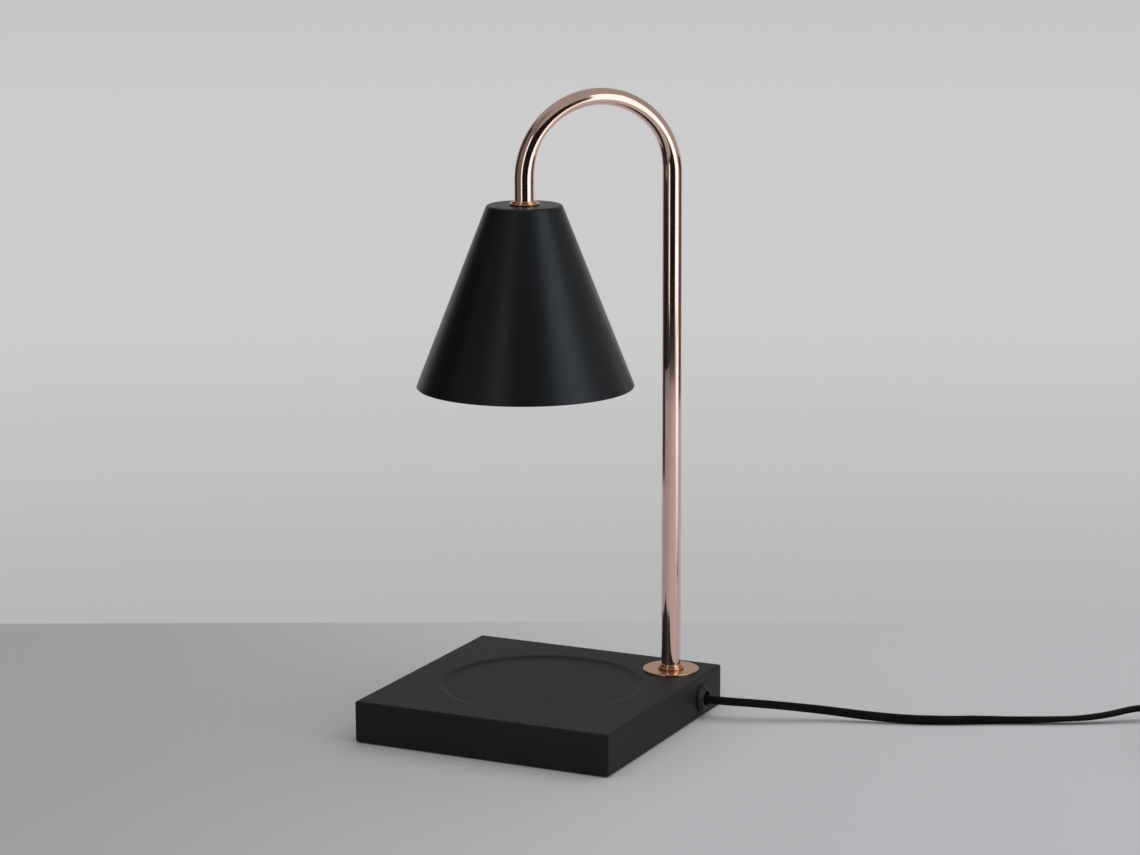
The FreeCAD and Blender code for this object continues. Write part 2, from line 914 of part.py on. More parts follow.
def make_bracket():
    """Bent strap that hangs the lamp holder from the stem's thread."""
    body = new_body("holder_bracket", shade_x, shade_y, 0, s.stem_angle)
    inside = s.holder_radius + s.holder_play
    outside = inside + s.bracket_thickness
    side = sketch_on(body, "XZ", -s.bracket_width / 2)
    under = bracket_top - s.bracket_thickness
    foot = under - s.bracket_leg
    draw_polygon(side, [
        (-outside, foot), (-inside, foot), (-inside, under), (inside, under),
        (inside, foot), (outside, foot), (outside, bracket_top), (-outside, bracket_top),
    ])
    pad(side, s.bracket_width)
    hole = sketch_on(body, "XY", bracket_top)
    draw_circle(hole, 0, 0, stem_hole)
    pocket(hole, s.bracket_thickness * 2)
    sides = sketch_on(body, "YZ", -outside)
    draw_circle(sides, 0, holder_top - s.side_screw_drop, s.small_radius + s.pass_play / 2)
    pocket(sides, outside * 2, up=True)
    return body


def make_bracket_screws():
    """Two screws from the strap's legs into the ceramic."""
    body = new_body("bracket_screws", shade_x, shade_y, 0, s.stem_angle)
    outside = s.holder_radius + s.holder_play + s.bracket_thickness
    depth = s.bracket_thickness + s.holder_play + s.holder_radius - s.cavity_radius
    height = holder_top - s.side_screw_drop
    for way in (1, -1):
        head = sketch_on(body, "YZ", way * outside)
        draw_circle(head, 0, height, s.small_head)
        pad(head, s.small_head_height, down=way < 0)
        shank = sketch_on(body, "YZ", way * outside)
        draw_circle(shank, 0, height, s.small_radius)
        pad(shank, depth - s.thread_end, down=way > 0)
    return body


def make_holder():
    """GU10 holder: ceramic body, slotted ceramic face and two contact leaves."""
    body = new_body("holder_body", shade_x, shade_y, 0, s.stem_angle)
    revolved(body, [
        (0, holder_low + s.cavity_height), (s.cavity_radius, holder_low + s.cavity_height),
        (s.cavity_radius, holder_low), (s.holder_radius, holder_low),
        (s.holder_radius, holder_top), (0, holder_top),
    ])
    wires = sketch_on(body, "XY", holder_top)
    for way in (1, -1):
        draw_circle(wires, 0, way * s.lead_spread, s.wire_radius + s.hole_play)
    pocket(wires, s.holder_height)
    sides = sketch_on(body, "YZ", -s.holder_radius)
    draw_circle(sides, 0, holder_top - s.side_screw_drop, s.small_radius + s.hole_play)
    pocket(sides, s.holder_radius * 2, up=True)

    face = new_body("holder_face", shade_x, shade_y, 0, s.stem_angle)
    disc = sketch_on(face, "XY", face_low)
    draw_circle(disc, 0, 0, s.holder_radius)
    pad(disc, s.holder_face)
    track = sketch_on(face, "XZ")
    half = s.pin_radius + s.pin_play
    draw_polygon(track, [
        (s.pin_circle - half, face_low), (s.pin_circle + half, face_low),
        (s.pin_circle + half, holder_low), (s.pin_circle - half, holder_low),
    ])
    slot = turn_about("Groove", track, s.twist, back=True)
    ends = sketch_on(face, "XY", holder_low)
    draw_circle(ends, s.pin_circle, 0, half)
    start = pocket(ends, s.holder_face)
    mouth = sketch_on(face, "XY", holder_low)
    draw_circle(mouth, s.pin_circle * cosine(s.twist), -s.pin_circle * sine(s.twist),
                s.pin_head + s.pin_play)
    keyhole = pocket(mouth, s.holder_face)
    copies_round([slot, start, keyhole], 2)

    leaves = new_body("holder_contacts", shade_x, shade_y, 0, s.stem_angle)
    head_top = bulb_top + s.holder_face + 2 * s.bulb_gap + s.pin_head_height
    plan = sketch_on(leaves, "XY", head_top + s.bulb_gap)
    for way in (1, -1):
        draw_box(plan, way * s.pin_circle, sized(0), s.contact_width, s.contact_width)
    pad(plan, holder_low + s.cavity_height - head_top - s.bulb_gap)


def make_lamp_head():
    make_shade()
    stepped_ring("shade_collar", shade_x, shade_y, s.shade_top,
                 s.ring_radius, s.ring_height, s.ring_step, s.ring_step_height)
    washer = new_body("shade_washer", shade_x, shade_y)
    tube_ring(washer, stem_hole, s.washer_radius, bracket_top, s.washer_height)
    hex_nut("shade_nut", shade_x, shade_y, upper_nut_low, s.nut_flats, stem_hole, s.nut_height,
            s.stem_angle)
    make_bracket()
    make_bracket_screws()
    make_holder()


# ------------------------------------------------------------------------ bulb

def make_bulb():
    """GU10 halogen bulb: ceramic cap, pins, glass reflector, front glass, capsule."""
    at = (shade_x, shade_y, 0, s.stem_angle)
    cap = new_body("bulb_cap", *at)
    cap_low = bulb_top - s.cap_height
    step = s.cap_radius - s.bulb_wall
    ring = revolved(cap, [
        (0, cap_low), (step, cap_low), (s.cap_radius, cap_low + s.bulb_wall),
        (s.cap_radius, bulb_top), (0, bulb_top),
    ])
    round_edges(ring, rim_at(s.cap_radius, bulb_top), s.bulb_wall)

    pins = new_body("bulb_pins", *at)
    shank = s.holder_face + 2 * s.bulb_gap
    for low, radius, height in ((bulb_top, s.pin_radius, shank),
                                (bulb_top + shank, s.pin_head, s.pin_head_height)):
        plan = sketch_on(pins, "XY", low)
        for way in (1, -1):
            draw_circle(plan, way * s.pin_circle, 0, radius)
        pad(plan, height)

    reflector = new_body("bulb_reflector", *at)
    rim_top = bulb_low + s.bulb_rim
    depth = cap_low - rim_top
    spread = s.bulb_radius - s.bulb_neck
    outer = [(s.bulb_neck + spread * wide, cap_low - depth * down) for down, wide in BELL]
    inner = [(x - s.bulb_wall, z) for x, z in outer]
    revolved(reflector, outer + [(s.bulb_radius, bulb_low),
                                 (s.bulb_radius - s.bulb_wall, bulb_low)] + inner[::-1])
    neck = sketch_on(reflector, "XY", cap_low)
    draw_circle(neck, 0, 0, s.bulb_neck)
    draw_circle(neck, 0, 0, s.cap_radius)
    pad(neck, s.neck_length)

    lens = new_body("bulb_lens", *at)
    disc = sketch_on(lens, "XY", bulb_low)
    draw_circle(disc, 0, 0, s.bulb_radius - s.bulb_wall)
    pad(disc, s.lens_height)

    capsule = new_body("bulb_capsule", *at)
    low = cap_low - s.capsule_length
    glass = revolved(capsule, [
        (0, low), (s.capsule_radius, low), (s.capsule_radius, cap_low), (0, cap_low),
    ])
    round_edges(glass, rim_at(s.capsule_radius, low), s.capsule_round)


# ---------------------------------------------------------- wiring in the base

def make_bushing():
    """Black bushing in the base's right side, and the nut behind it."""
    body = lying_body("cord_bushing", base_half, bushing_y, s.bushing_z)
    nose = revolved(body, [
        (s.bushing_bore, -s.bushing_length), (s.bushing_barrel, -s.bushing_length),
        (s.bushing_barrel, 0), (s.bushing_flange, 0), (s.bushing_flange, s.bushing_brim),
        (s.bushing_nose, s.bushing_reach), (s.bushing_bore, s.bushing_reach),
    ])
    rims = any_of(rim_at(s.bushing_flange, s.bushing_brim), rim_at(s.bushing_nose, s.bushing_reach))
    round_edges(nose, rims, s.bushing_round)

    nut = lying_body("bushing_nut", base_half - s.base_wall - s.bushing_nut_height, bushing_y,
                     s.bushing_z)
    sketch = sketch_on(nut, "XY")
    draw_hexagon(sketch, 0, 0, s.bushing_nut, turn=30)
    draw_circle(sketch, 0, 0, s.bushing_barrel + s.bushing_play)
    pad(sketch, s.bushing_nut_height)


def make_inner_flex():
    """The flex's stretch in the base: two round cores side by side in one web."""
    body = new_body("flex_in_base")
    start = base_half - s.bushing_length
    section = sketch_on(body, "YZ", flex_end)
    half = s.flex_thickness / 2
    reach = s.flex_width / 2 - half
    y, z = bushing_y, flex_height
    top = [Vector((y - reach).value, (z + half).value, 0), Vector((y + reach).value, (z + half).value, 0)]
    low = [Vector((y + reach).value, (z - half).value, 0), Vector((y - reach).value, (z - half).value, 0)]
    right = Vector((y + reach + half).value, z.value, 0)
    left = Vector((y - reach - half).value, z.value, 0)
    section.addGeometry([
        Part.LineSegment(top[0], top[1]),
        Part.Arc(top[1], right, low[0]),
        Part.LineSegment(low[0], low[1]),
        Part.Arc(low[1], left, top[0]),
    ], False)
    pin_point(section, 0, 1, y - reach, z + half)
    pin_point(section, 0, 2, y + reach, z + half)
    pin_point(section, 2, 1, y + reach, z - half)
    pin_point(section, 2, 2, y - reach, z - half)
    pin_point(section, 1, 3, x=y + reach)
    pin_point(section, 3, 3, x=y - reach)
    section.addConstraint(Sketcher.Constraint("Coincident", 1, 2, 0, 2))
    section.addConstraint(Sketcher.Constraint("Coincident", 1, 1, 2, 1))
    section.addConstraint(Sketcher.Constraint("Coincident", 3, 2, 2, 2))
    section.addConstraint(Sketcher.Constraint("Coincident", 3, 1, 0, 1))
    pad(section, start - flex_end)
    return body


def make_anchor():
    """Two-part clamp that takes the pull off the flex's joints."""
    holes = s.small_radius + s.hole_play
    for label, low, height in (
            ("anchor_base", plate_top, flex_height - s.flex_thickness / 2 - plate_top),
            ("anchor_bar", flex_height + s.flex_thickness / 2, s.anchor_bar)):
        body = new_body(label)
        plan = sketch_on(body, "XY", low)
        draw_box(plan, anchor_x, bushing_y, s.anchor_length, s.anchor_width)
        for x, y in anchor_places():
            draw_circle(plan, x, y, holes)
        pad(plan, height)
    bar_top = flex_height + s.flex_thickness / 2 + s.anchor_bar
    screws("anchor_screws", anchor_places(), bar_top + s.small_head_height, s.small_head_height,
           s.small_head, s.small_radius, bar_top - plate_low - s.plate_thickness / 4, up=False)


def make_terminal_block():
    """Two-way terminal block that joins the flex's cores to the stem's wires."""
    body = new_body("terminal_block")
    plan = sketch_on(body, "XY", plate_top)
    draw_box(plan, block_x, block_y, s.block_length, s.block_width)
    pad(plan, s.block_height)
    mouths = sketch_on(body, "YZ", block_x - s.block_length / 2)
    drivers = sketch_on(body, "XY", plate_top + s.block_height)
    for way in (1, -1):
        y = block_y + way * s.block_pitch / 2
        draw_circle(mouths, y, block_mouth, s.wire_radius * 2)
        draw_circle(drivers, block_x, y, s.small_radius)
    pocket(mouths, s.block_length, up=True)
    pocket(drivers, s.block_height / 2)
    return body


def rounded_wire(points, radii):
    """Straight runs through points, joined by tangent arcs of the given radii."""
    edges = []
    start = points[0]
    for index in range(1, len(points) - 1):
        corner = points[index]
        back = (points[index - 1] - corner).normalize()
        ahead = (points[index + 1] - corner).normalize()
        half_turn = (math.pi - back.getAngle(ahead)) / 2
        radius = radii[index - 1]
        setback = radius * math.tan(half_turn)
        begin = corner + back * setback
        end = corner + ahead * setback
        inward = (back + ahead).normalize()
        middle = corner + inward * (radius / math.cos(half_turn) - radius)
        if (begin - start).Length > CLOSE:
            edges.append(Part.LineSegment(start, begin).toShape())
        edges.append(Part.Arc(begin, middle, end).toShape())
        start = end
    if (points[-1] - start).Length > CLOSE:
        edges.append(Part.LineSegment(start, points[-1]).toShape())
    return Part.Wire(edges)


def tube_along(wire, radius):
    """A round solid along a wire, checked against its section times its length."""
    first = wire.Edges[0]
    way = first.tangentAt(first.FirstParameter)
    section = Part.Wire([Part.makeCircle(radius, wire.Edges[0].Vertexes[0].Point, way)])
    solid = wire.makePipeShell([section], True, False)
    expected = math.pi * radius ** 2 * wire.Length
    if abs(solid.Volume / expected - 1) > 0.01:
        raise RuntimeError("a tube's volume is off: %.4f" % (solid.Volume / expected))
    return solid


def wire_radii(points, wanted):
    """The wanted radius at each corner, or as much as the runs leave room for."""
    radii = []
    for index in range(1, len(points) - 1):
        back = points[index - 1] - points[index]
        ahead = points[index + 1] - points[index]
        half_turn = (math.pi - back.getAngle(ahead)) / 2
        room = min(back.Length, ahead.Length) * ARC_SHARE / math.tan(half_turn)
        radii.append(min(wanted, room))
    return radii


def make_core_wires():
    """The flex's two cores, looped back into the terminal block."""
    solids = []
    for way in (1, -1):
        y = bushing_y.value - way * s.wire_radius.value
        mouth_y = (block_y + way * s.block_pitch / 2).value
        back_x = (flex_end - s.core_loop - way * s.core_step).value
        end_x = (block_x - s.block_length / 2).value
        points = [
            Vector(flex_end.value, y, flex_height.value),
            Vector(back_x, y, flex_height.value),
            Vector(back_x, mouth_y, block_mouth.value),
            Vector(end_x, mouth_y, block_mouth.value),
        ]
        wire = rounded_wire(points, wire_radii(points, s.core_bend.value))
        solids.append(tube_along(wire, s.wire_radius.value))
    solid_feature("core_wires", Part.makeCompound(solids))


def make_stem_wires():
    """Two wires from the terminal block, up the stem and into the lamp holder."""
    solids = []
    turn = s.stem_angle.value
    along = Vector(math.cos(math.radians(turn)), math.sin(math.radians(turn)), 0)
    across = Vector(-along.y, along.x, 0)
    far = along * (2 * s.stem_bend.value)
    over = s.stem_bend_height.value + s.stem_bend.value
    for way in (1, -1):
        mouth_y = (block_y - way * s.block_pitch / 2).value
        mouth_x = (block_x + s.block_length / 2).value
        foot = Vector(stem_place.value, stem_place.value, 0) + across * (way * s.lead_spread.value)
        level = block_mouth.value
        points = [
            Vector(mouth_x, mouth_y, level),
            Vector(mouth_x + (s.wire_reach + way * s.wire_step).value, mouth_y, level),
            Vector(foot.x, foot.y, level),
            Vector(foot.x, foot.y, over),
            Vector(foot.x, foot.y, over) + far,
            Vector(foot.x, foot.y, holder_top.value - s.wire_radius.value) + far,
        ]
        radii = wire_radii(points, s.wire_bend.value)
        radii[2] = s.stem_bend.value
        radii[3] = s.stem_bend.value
        solids.append(tube_along(rounded_wire(points, radii), s.wire_radius.value))
    solid_feature("stem_wires", Part.makeCompound(solids))


def make_wiring():
    make_bushing()
    make_inner_flex()
    make_anchor()
    make_terminal_block()
    make_core_wires()
    make_stem_wires()


# ---------------------------------------------------------------------- dimmer

def dimmer_body(label):
    return new_body(label, s.dimmer_x, s.dimmer_y, 0, s.dimmer_angle)


def wheel_place():
    return s.dimmer_width / 2 + s.wheel_proud - s.wheel_radius


def case_half(label, low, top, floor, is_upper):
    """One moulded half of the dimmer's case."""
    body = dimmer_body(label)
    half_x = s.dimmer_length / 2
    half_y = s.dimmer_width / 2
    plan = sketch_on(body, "XY", low)
    draw_box(plan, sized(0), sized(0), s.dimmer_length, s.dimmer_width)
    block = pad(plan, top - low)
    block = round_edges(block, upright_at(half_x, half_y), s.dimmer_corner)
    outer_face = top if is_upper else low
    round_edges(block, level_at(outer_face, half_y), s.dimmer_edge)
    seam = low if is_upper else top
    hollow = sketch_on(body, "XY", seam)
    draw_box(hollow, sized(0), sized(0), s.dimmer_length - s.dimmer_corner,
             s.dimmer_width - 2 * s.dimmer_wall)
    depth = (floor - seam) if is_upper else (seam - floor)
    pocket(hollow, depth, up=is_upper)
    pillars = sketch_on(body, "XY", floor)
    for x, y in ((s.pillar_x, s.pillar_y), (-s.pillar_x, -s.pillar_y)):
        draw_circle(pillars, x, y, s.pillar_radius)
    pad(pillars, depth, down=is_upper)
    for way in (1, -1):
        end = sketch_on(body, "YZ", way * half_x)
        draw_circle(end, 0, s.dimmer_cord_height, s.boot_radius - 2 * s.boot_groove)
        pocket(end, s.dimmer_corner, up=way < 0)
    slot = sketch_on(body, "XY", s.dimmer_height / 2 - s.wheel_height / 2 - s.wheel_play)
    draw_circle(slot, 0, wheel_place(), s.wheel_radius + s.wheel_play)
    pocket(slot, s.wheel_height + 2 * s.wheel_play, up=True)
    return body


def make_case():
    half = s.dimmer_cord_height
    lower = case_half("dimmer_lower", sized(0), half - s.dimmer_seam / 2, s.dimmer_wall, False)
    ribs = sketch_on(lower, "XY", s.dimmer_wall)
    for way in (1, -1):
        draw_box(ribs, way * s.board_rib_x, sized(0), s.dimmer_wall, s.board_rib_width)
    pad(ribs, s.board_lift)
    bores = sketch_on(lower, "XY")
    heads = sketch_on(lower, "XY")
    for x, y in ((s.pillar_x, s.pillar_y), (-s.pillar_x, -s.pillar_y)):
        draw_circle(bores, x, y, s.small_radius + s.hole_play)
        draw_circle(heads, x, y, s.small_head + s.hole_play)
    pocket(bores, half, up=True)
    pocket(heads, s.head_recess, up=True)

    upper = case_half("dimmer_upper", half + s.dimmer_seam / 2, s.dimmer_height,
                      s.dimmer_height - s.dimmer_wall, True)
    pilots = sketch_on(upper, "XY", half)
    for x, y in ((s.pillar_x, s.pillar_y), (-s.pillar_x, -s.pillar_y)):
        draw_circle(pilots, x, y, s.small_radius + s.hole_play)
    pocket(pilots, s.pilot_depth, up=True)
    boss_low = s.dimmer_height / 2 + s.wheel_height / 2 + s.wheel_play
    boss = sketch_on(upper, "XY", boss_low)
    draw_circle(boss, 0, wheel_place(), s.shaft_radius * 2)
    pad(boss, s.dimmer_height - s.dimmer_wall - boss_low)
    socket = sketch_on(upper, "XY", boss_low)
    draw_circle(socket, 0, wheel_place(), s.shaft_radius + s.shaft_play)
    pocket(socket, s.shaft_socket, up=True)

    screws_body = dimmer_body("dimmer_screws")
    face = s.small_head_height / 2
    for low, radius, height in ((face, s.small_head, s.small_head_height),
                                (face + s.small_head_height, s.small_radius, half + face)):
        plan = sketch_on(screws_body, "XY", low)
        for x, y in ((s.pillar_x, s.pillar_y), (-s.pillar_x, -s.pillar_y)):
            draw_circle(plan, x, y, radius)
        pad(plan, height)
    cross = sketch_on(screws_body, "XY", face)
    for x, y in ((s.pillar_x, s.pillar_y), (-s.pillar_x, -s.pillar_y)):
        draw_cross(cross, x, y)
    pocket(cross, s.cross_depth, up=True)


def make_wheel():
    """Knurled thumbwheel and its shaft."""
    low = s.dimmer_height / 2 - s.wheel_height / 2
    body = new_body("dimmer_wheel",
                    s.dimmer_x - wheel_place() * sine(s.dimmer_angle),
                    s.dimmer_y + wheel_place() * cosine(s.dimmer_angle), 0, s.dimmer_angle)
    tube_ring(body, s.shaft_radius, s.wheel_radius, low, s.wheel_height)
    notch = sketch_on(body, "XY", low)
    draw_circle(notch, s.wheel_radius + s.wheel_notch / 3, 0, s.wheel_notch)
    cut = pocket(notch, s.wheel_height, up=True)
    copies_round([cut], WHEEL_NOTCHES)

    shaft = new_body("dimmer_shaft",
                     s.dimmer_x - wheel_place() * sine(s.dimmer_angle),
                     s.dimmer_y + wheel_place() * cosine(s.dimmer_angle), 0, s.dimmer_angle)
    foot = s.dimmer_wall + s.board_lift + s.board_thickness + s.wheel_play
    round_bar = sketch_on(shaft, "XY", foot)
    draw_circle(round_bar, 0, 0, s.shaft_radius)
    pad(round_bar, s.shaft_length)


def make_electronics():
    """Circuit board, potentiometer, triac, choke and capacitor."""
    board_low = s.dimmer_wall + s.board_lift
    board_top = board_low + s.board_thickness
    board = dimmer_body("dimmer_board")
    plan = sketch_on(board, "XY", board_low)
    draw_box(plan, sized(0), sized(0), s.board_length, s.board_width)
    pad(plan, s.board_thickness)

    pot = dimmer_body("dimmer_potentiometer")
    can = sketch_on(pot, "XY", board_top)
    draw_circle(can, 0, wheel_place(), s.pot_radius)
    pad(can, s.dimmer_height / 2 - s.wheel_height / 2 - s.wheel_play - board_top)
    bore = sketch_on(pot, "XY", board_top)
    draw_circle(bore, 0, wheel_place(), s.shaft_radius + s.shaft_play)
    pocket(bore, s.dimmer_height, up=True)

    parts = dimmer_body("dimmer_components")
    triac = sketch_on(parts, "XY", board_top)
    draw_box(triac, s.triac_x, sized(0), s.triac_length, s.triac_width)
    pad(triac, s.dimmer_height / 2 - board_top)
    choke = sketch_on(parts, "XY", board_top)
    draw_circle(choke, -s.choke_x, -s.choke_y, s.choke_radius)
    pad(choke, s.choke_height)
    capacitor = sketch_on(parts, "XY", board_top)
    draw_box(capacitor, -s.capacitor_x, -s.capacitor_y, s.capacitor_length, s.capacitor_width)
    pad(capacitor, s.capacitor_height)


def make_dimmer_leads():
    """The flex's ends inside the dimmer, and their cores bent down to the board."""
    turn = s.dimmer_angle.value
    centre = Vector(s.dimmer_x.value, s.dimmer_y.value, 0)
    height = s.dimmer_cord_height.value
    outer_end = s.dimmer_length.value / 2 + s.boot_length.value - s.boot_grip.value
    inner_end = s.pillar_x.value - s.pillar_radius.value
    pad_x = s.board_length.value / 2 - s.board_thickness.value
    board_top = (s.dimmer_wall + s.board_lift + s.board_thickness).value
    core_y = (s.flex_width - s.flex_thickness).value / 2
    solids = []
    for way in (1, -1):
        stub = Part.makeCylinder(s.flex_width.value / 2, outer_end - inner_end,
                                 Vector(way * inner_end, 0, height), Vector(way, 0, 0))
        solids.append(stub)
        for side in (1, -1):
            points = [
                Vector(way * inner_end, side * core_y, height),
                Vector(way * pad_x, side * core_y, height),
                Vector(way * pad_x, side * core_y, board_top),
            ]
            wire = rounded_wire(points, wire_radii(points, height / 2))
            solids.append(tube_along(wire, s.wire_radius.value))
    leads = Part.makeCompound(solids)
    leads.rotate(Vector(0, 0, 0), Vector(0, 0, 1), turn)
    leads.translate(centre)
    solid_feature("dimmer_leads", leads)


def make_boot(label, x, y, z, angle, radius, length, back, bore_end, stub):
    """Ribbed strain relief, its thick end on the housing, bored from its tip to bore_end.

    A stub of the given length reaches into the housing's wall.
    """
    body = lying_body(label, x, y, z, angle, back)
    bore = s.flex_width / 2 + s.boot_play
    neck = radius - 2 * s.boot_groove - s.hole_play
    if stub:
        points = [(bore, -stub), (neck, -stub), (neck, 0)]
    else:
        points = [(bore, bore_end), (0, bore_end), (0, 0)]
    for rib in range(BOOT_RIBS):
        low = length * rib / BOOT_RIBS
        top = length * (rib + RIB_SHARE) / BOOT_RIBS
        wide = radius - (radius - s.boot_tip) * rib / BOOT_RIBS
        narrow = wide - s.boot_groove
        points += [(wide, low), (wide, top), (narrow, top)]
        points.append((narrow, length * (rib + 1) / BOOT_RIBS))
    points.append((bore, length))
    revolved(body, points)
    return body


def make_dimmer():
    make_case()
    make_wheel()
    make_electronics()
    make_dimmer_leads()
    reach = s.dimmer_length / 2
    for label, way in (("dimmer_boot_lamp_side", -1), ("dimmer_boot_plug_side", 1)):
        make_boot(label,
                  s.dimmer_x + way * reach * cosine(s.dimmer_angle),
                  s.dimmer_y + way * reach * sine(s.dimmer_angle),
                  s.dimmer_cord_height, s.dimmer_angle, s.boot_radius, s.boot_length, way < 0,
                  0, s.dimmer_wall)


# --------------------------------------------------------------- flex and plug

def flex_radii(points):
    """Arc radii of a free flex: a share of the shorter run at each corner."""
    radii = []
    for index in range(1, len(points) - 1):
        back = points[index - 1] - points[index]
        ahead = points[index + 1] - points[index]
        half_turn = (math.pi - back.getAngle(ahead)) / 2
        shorter = min(back.Length, ahead.Length)
        radii.append(ARC_SHARE * shorter / math.tan(half_turn))
    return radii


def make_free_flex(label, route):
    """A free stretch of the flex as a round tube as wide as the flat flex."""
    points = [Vector(*point) for point in route]
    radii = flex_radii(points)
    wire = rounded_wire(points, radii)
    print("%s length %.1f, radii %s" % (label, wire.Length, " ".join("%.0f" % r for r in radii)))
    solid_feature(label, tube_along(wire, s.flex_width.value / 2))


def make_coil():
    """The outer shape of the tied coil, and the tie round it."""
    body = new_body("flex_coil", s.coil_x, s.coil_y)
    inner = s.coil_middle - s.coil_width / 2
    outer = s.coil_middle + s.coil_width / 2
    low = s.tie_thickness
    top = low + s.coil_height
    ring = revolved(body, [(inner, low), (outer, low), (outer, top), (inner, top)])
    rims = any_of(rim_at(inner, low), rim_at(outer, low), rim_at(inner, top), rim_at(outer, top))
    round_edges(ring, rims, s.flex_thickness / 2)

    tie = new_body("coil_tie", s.coil_x, s.coil_y, 0, s.tie_angle)
    side = sketch_on(tie, "XZ", -s.tie_width / 2)
    bow = s.tie_width * s.tie_width / (8 * s.coil_middle)
    draw_polygon(side, [
        (inner - bow - s.tie_thickness, 0), (outer + s.tie_thickness, 0),
        (outer + s.tie_thickness, top + s.tie_thickness),
        (inner - bow - s.tie_thickness, top + s.tie_thickness),
    ])
    draw_polygon(side, [(inner - bow, low), (outer, low), (outer, top), (inner - bow, top)])
    pad(side, s.tie_width)


def make_plug():
    """Two-pin plug with a ribbed strain relief, lying on its side."""
    at = (s.plug_x, s.plug_y, 0, s.plug_angle)
    body = new_body("plug_body", *at)
    plan = sketch_on(body, "XY")
    half = s.plug_width / 2
    draw_polygon(plan, [
        (0, -s.plug_waist), (s.plug_shoulder, -half), (s.plug_length, -half),
        (s.plug_length, half), (s.plug_shoulder, half), (0, s.plug_waist),
    ])
    block = pad(plan, s.plug_height)

    def long_edges(edge):
        box = edge.BoundBox
        level = abs(box.ZMax - box.ZMin) < CLOSE
        at_front = abs(box.XMin - s.plug_length.value) < CLOSE
        at_back = abs(box.XMax) < CLOSE
        return level and not at_front and not at_back

    round_edges(block, long_edges, s.plug_round)

    blades = new_body("plug_blades", *at)
    middle = s.plug_height / 2
    taper = s.blade_width / 5
    holes = sketch_on(blades, "XZ", -s.blade_pitch)
    draw_circle(holes, s.plug_length + s.blade_hole_place, middle, s.blade_hole)
    for way in (1, -1):
        face = sketch_on(blades, "XZ", way * s.blade_pitch / 2 - s.blade_thickness / 2)
        start = s.plug_length
        tip = s.plug_length + s.blade_length
        draw_polygon(face, [
            (start, middle - s.blade_width / 2), (tip - taper, middle - s.blade_width / 2),
            (tip, middle - s.blade_width / 2 + taper), (tip, middle + s.blade_width / 2 - taper),
            (tip - taper, middle + s.blade_width / 2), (start, middle + s.blade_width / 2),
        ])
        pad(face, s.blade_thickness)
    pocket(holes, s.blade_pitch * 2, up=True)

    make_boot("plug_boot", s.plug_x, s.plug_y, middle, s.plug_angle, s.plug_boot_radius,
              s.plug_boot_length, True, s.plug_boot_length - s.boot_grip, 0)


def make_cord():
    make_free_flex("flex_lamp_to_dimmer", LAMP_ROUTE)
    make_free_flex("flex_dimmer_to_coil", COIL_ROUTE)
    make_coil()
    make_free_flex("flex_coil_to_plug", PLUG_ROUTE)
    make_plug()


# ------------------------------------------------------------- check and export

def sub_parts():
    """Every object that is a sub-part: the bodies and the plain shapes."""
    bodies = [item for item in doc.Objects if item.TypeId == "PartDesign::Body"]
    return bodies + [item for item in doc.Objects if item.TypeId == "Part::Feature"]


def check_and_export():
    doc.recompute()
    for item in doc.Objects:
        if "Invalid" in item.State or "Error" in item.State:
            raise RuntimeError("%s is %s" % (item.Label, item.State))
    for part in sub_parts():
        if part.Shape.isNull() or not part.Shape.isValid() or not part.Shape.Solids:
            raise RuntimeError(part.Label + " has no valid solid")
    for part in sub_parts():
        part.Shape.exportStep("parts/%s.step" % part.Label)
        box = part.Shape.BoundBox
        print("%-24s %2d solids %9.0f mm3  x %.1f..%.1f y %.1f..%.1f z %.2f..%.2f" % (
            part.Label, len(part.Shape.Solids), part.Shape.Volume,
            box.XMin, box.XMax, box.YMin, box.YMax, box.ZMin, box.ZMax))


make_base()
make_stem()
make_lamp_head()
make_bulb()
make_wiring()
make_dimmer()
make_cord()
check_and_export()
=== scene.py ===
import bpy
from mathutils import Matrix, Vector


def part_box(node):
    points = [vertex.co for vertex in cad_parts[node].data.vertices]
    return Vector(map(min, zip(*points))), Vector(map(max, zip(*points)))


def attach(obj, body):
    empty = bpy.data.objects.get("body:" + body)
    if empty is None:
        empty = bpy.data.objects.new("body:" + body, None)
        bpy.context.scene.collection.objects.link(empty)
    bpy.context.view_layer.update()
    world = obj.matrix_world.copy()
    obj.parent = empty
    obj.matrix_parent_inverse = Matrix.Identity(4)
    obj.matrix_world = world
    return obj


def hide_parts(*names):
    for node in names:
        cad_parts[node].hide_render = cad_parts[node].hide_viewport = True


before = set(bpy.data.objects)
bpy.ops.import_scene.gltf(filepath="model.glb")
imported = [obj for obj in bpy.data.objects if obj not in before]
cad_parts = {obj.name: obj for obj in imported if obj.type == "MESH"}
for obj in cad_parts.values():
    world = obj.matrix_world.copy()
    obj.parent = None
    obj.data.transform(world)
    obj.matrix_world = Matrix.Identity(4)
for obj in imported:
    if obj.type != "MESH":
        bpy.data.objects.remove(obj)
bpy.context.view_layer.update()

import math

import bmesh
import bpy
from mathutils import Matrix, Vector

bl_info = {
    "name": "Candle Warmer Lamp",
    "version": (1, 0, 0),
    "blender": (4, 5, 0),
    "location": "View3D > Sidebar > Lamp",
    "description": "Dresses a candle warmer lamp: base, gooseneck, shade, bulb, flat flex, "
                   "dimmer and plug",
    "category": "Object",
}

MM = 0.001
BODY = "lamp"


# ------------------------------------------------------------- places from the frame

def disc(node):
    """Bottom, top and radius of a node that is round about an upright axis."""
    low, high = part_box(node)
    return low.z, high.z, (high.x - low.x) / 2


def axis_of(node):
    """Point at floor level below a node's middle."""
    low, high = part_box(node)
    middle = (low + high) / 2
    middle.z = 0
    return middle


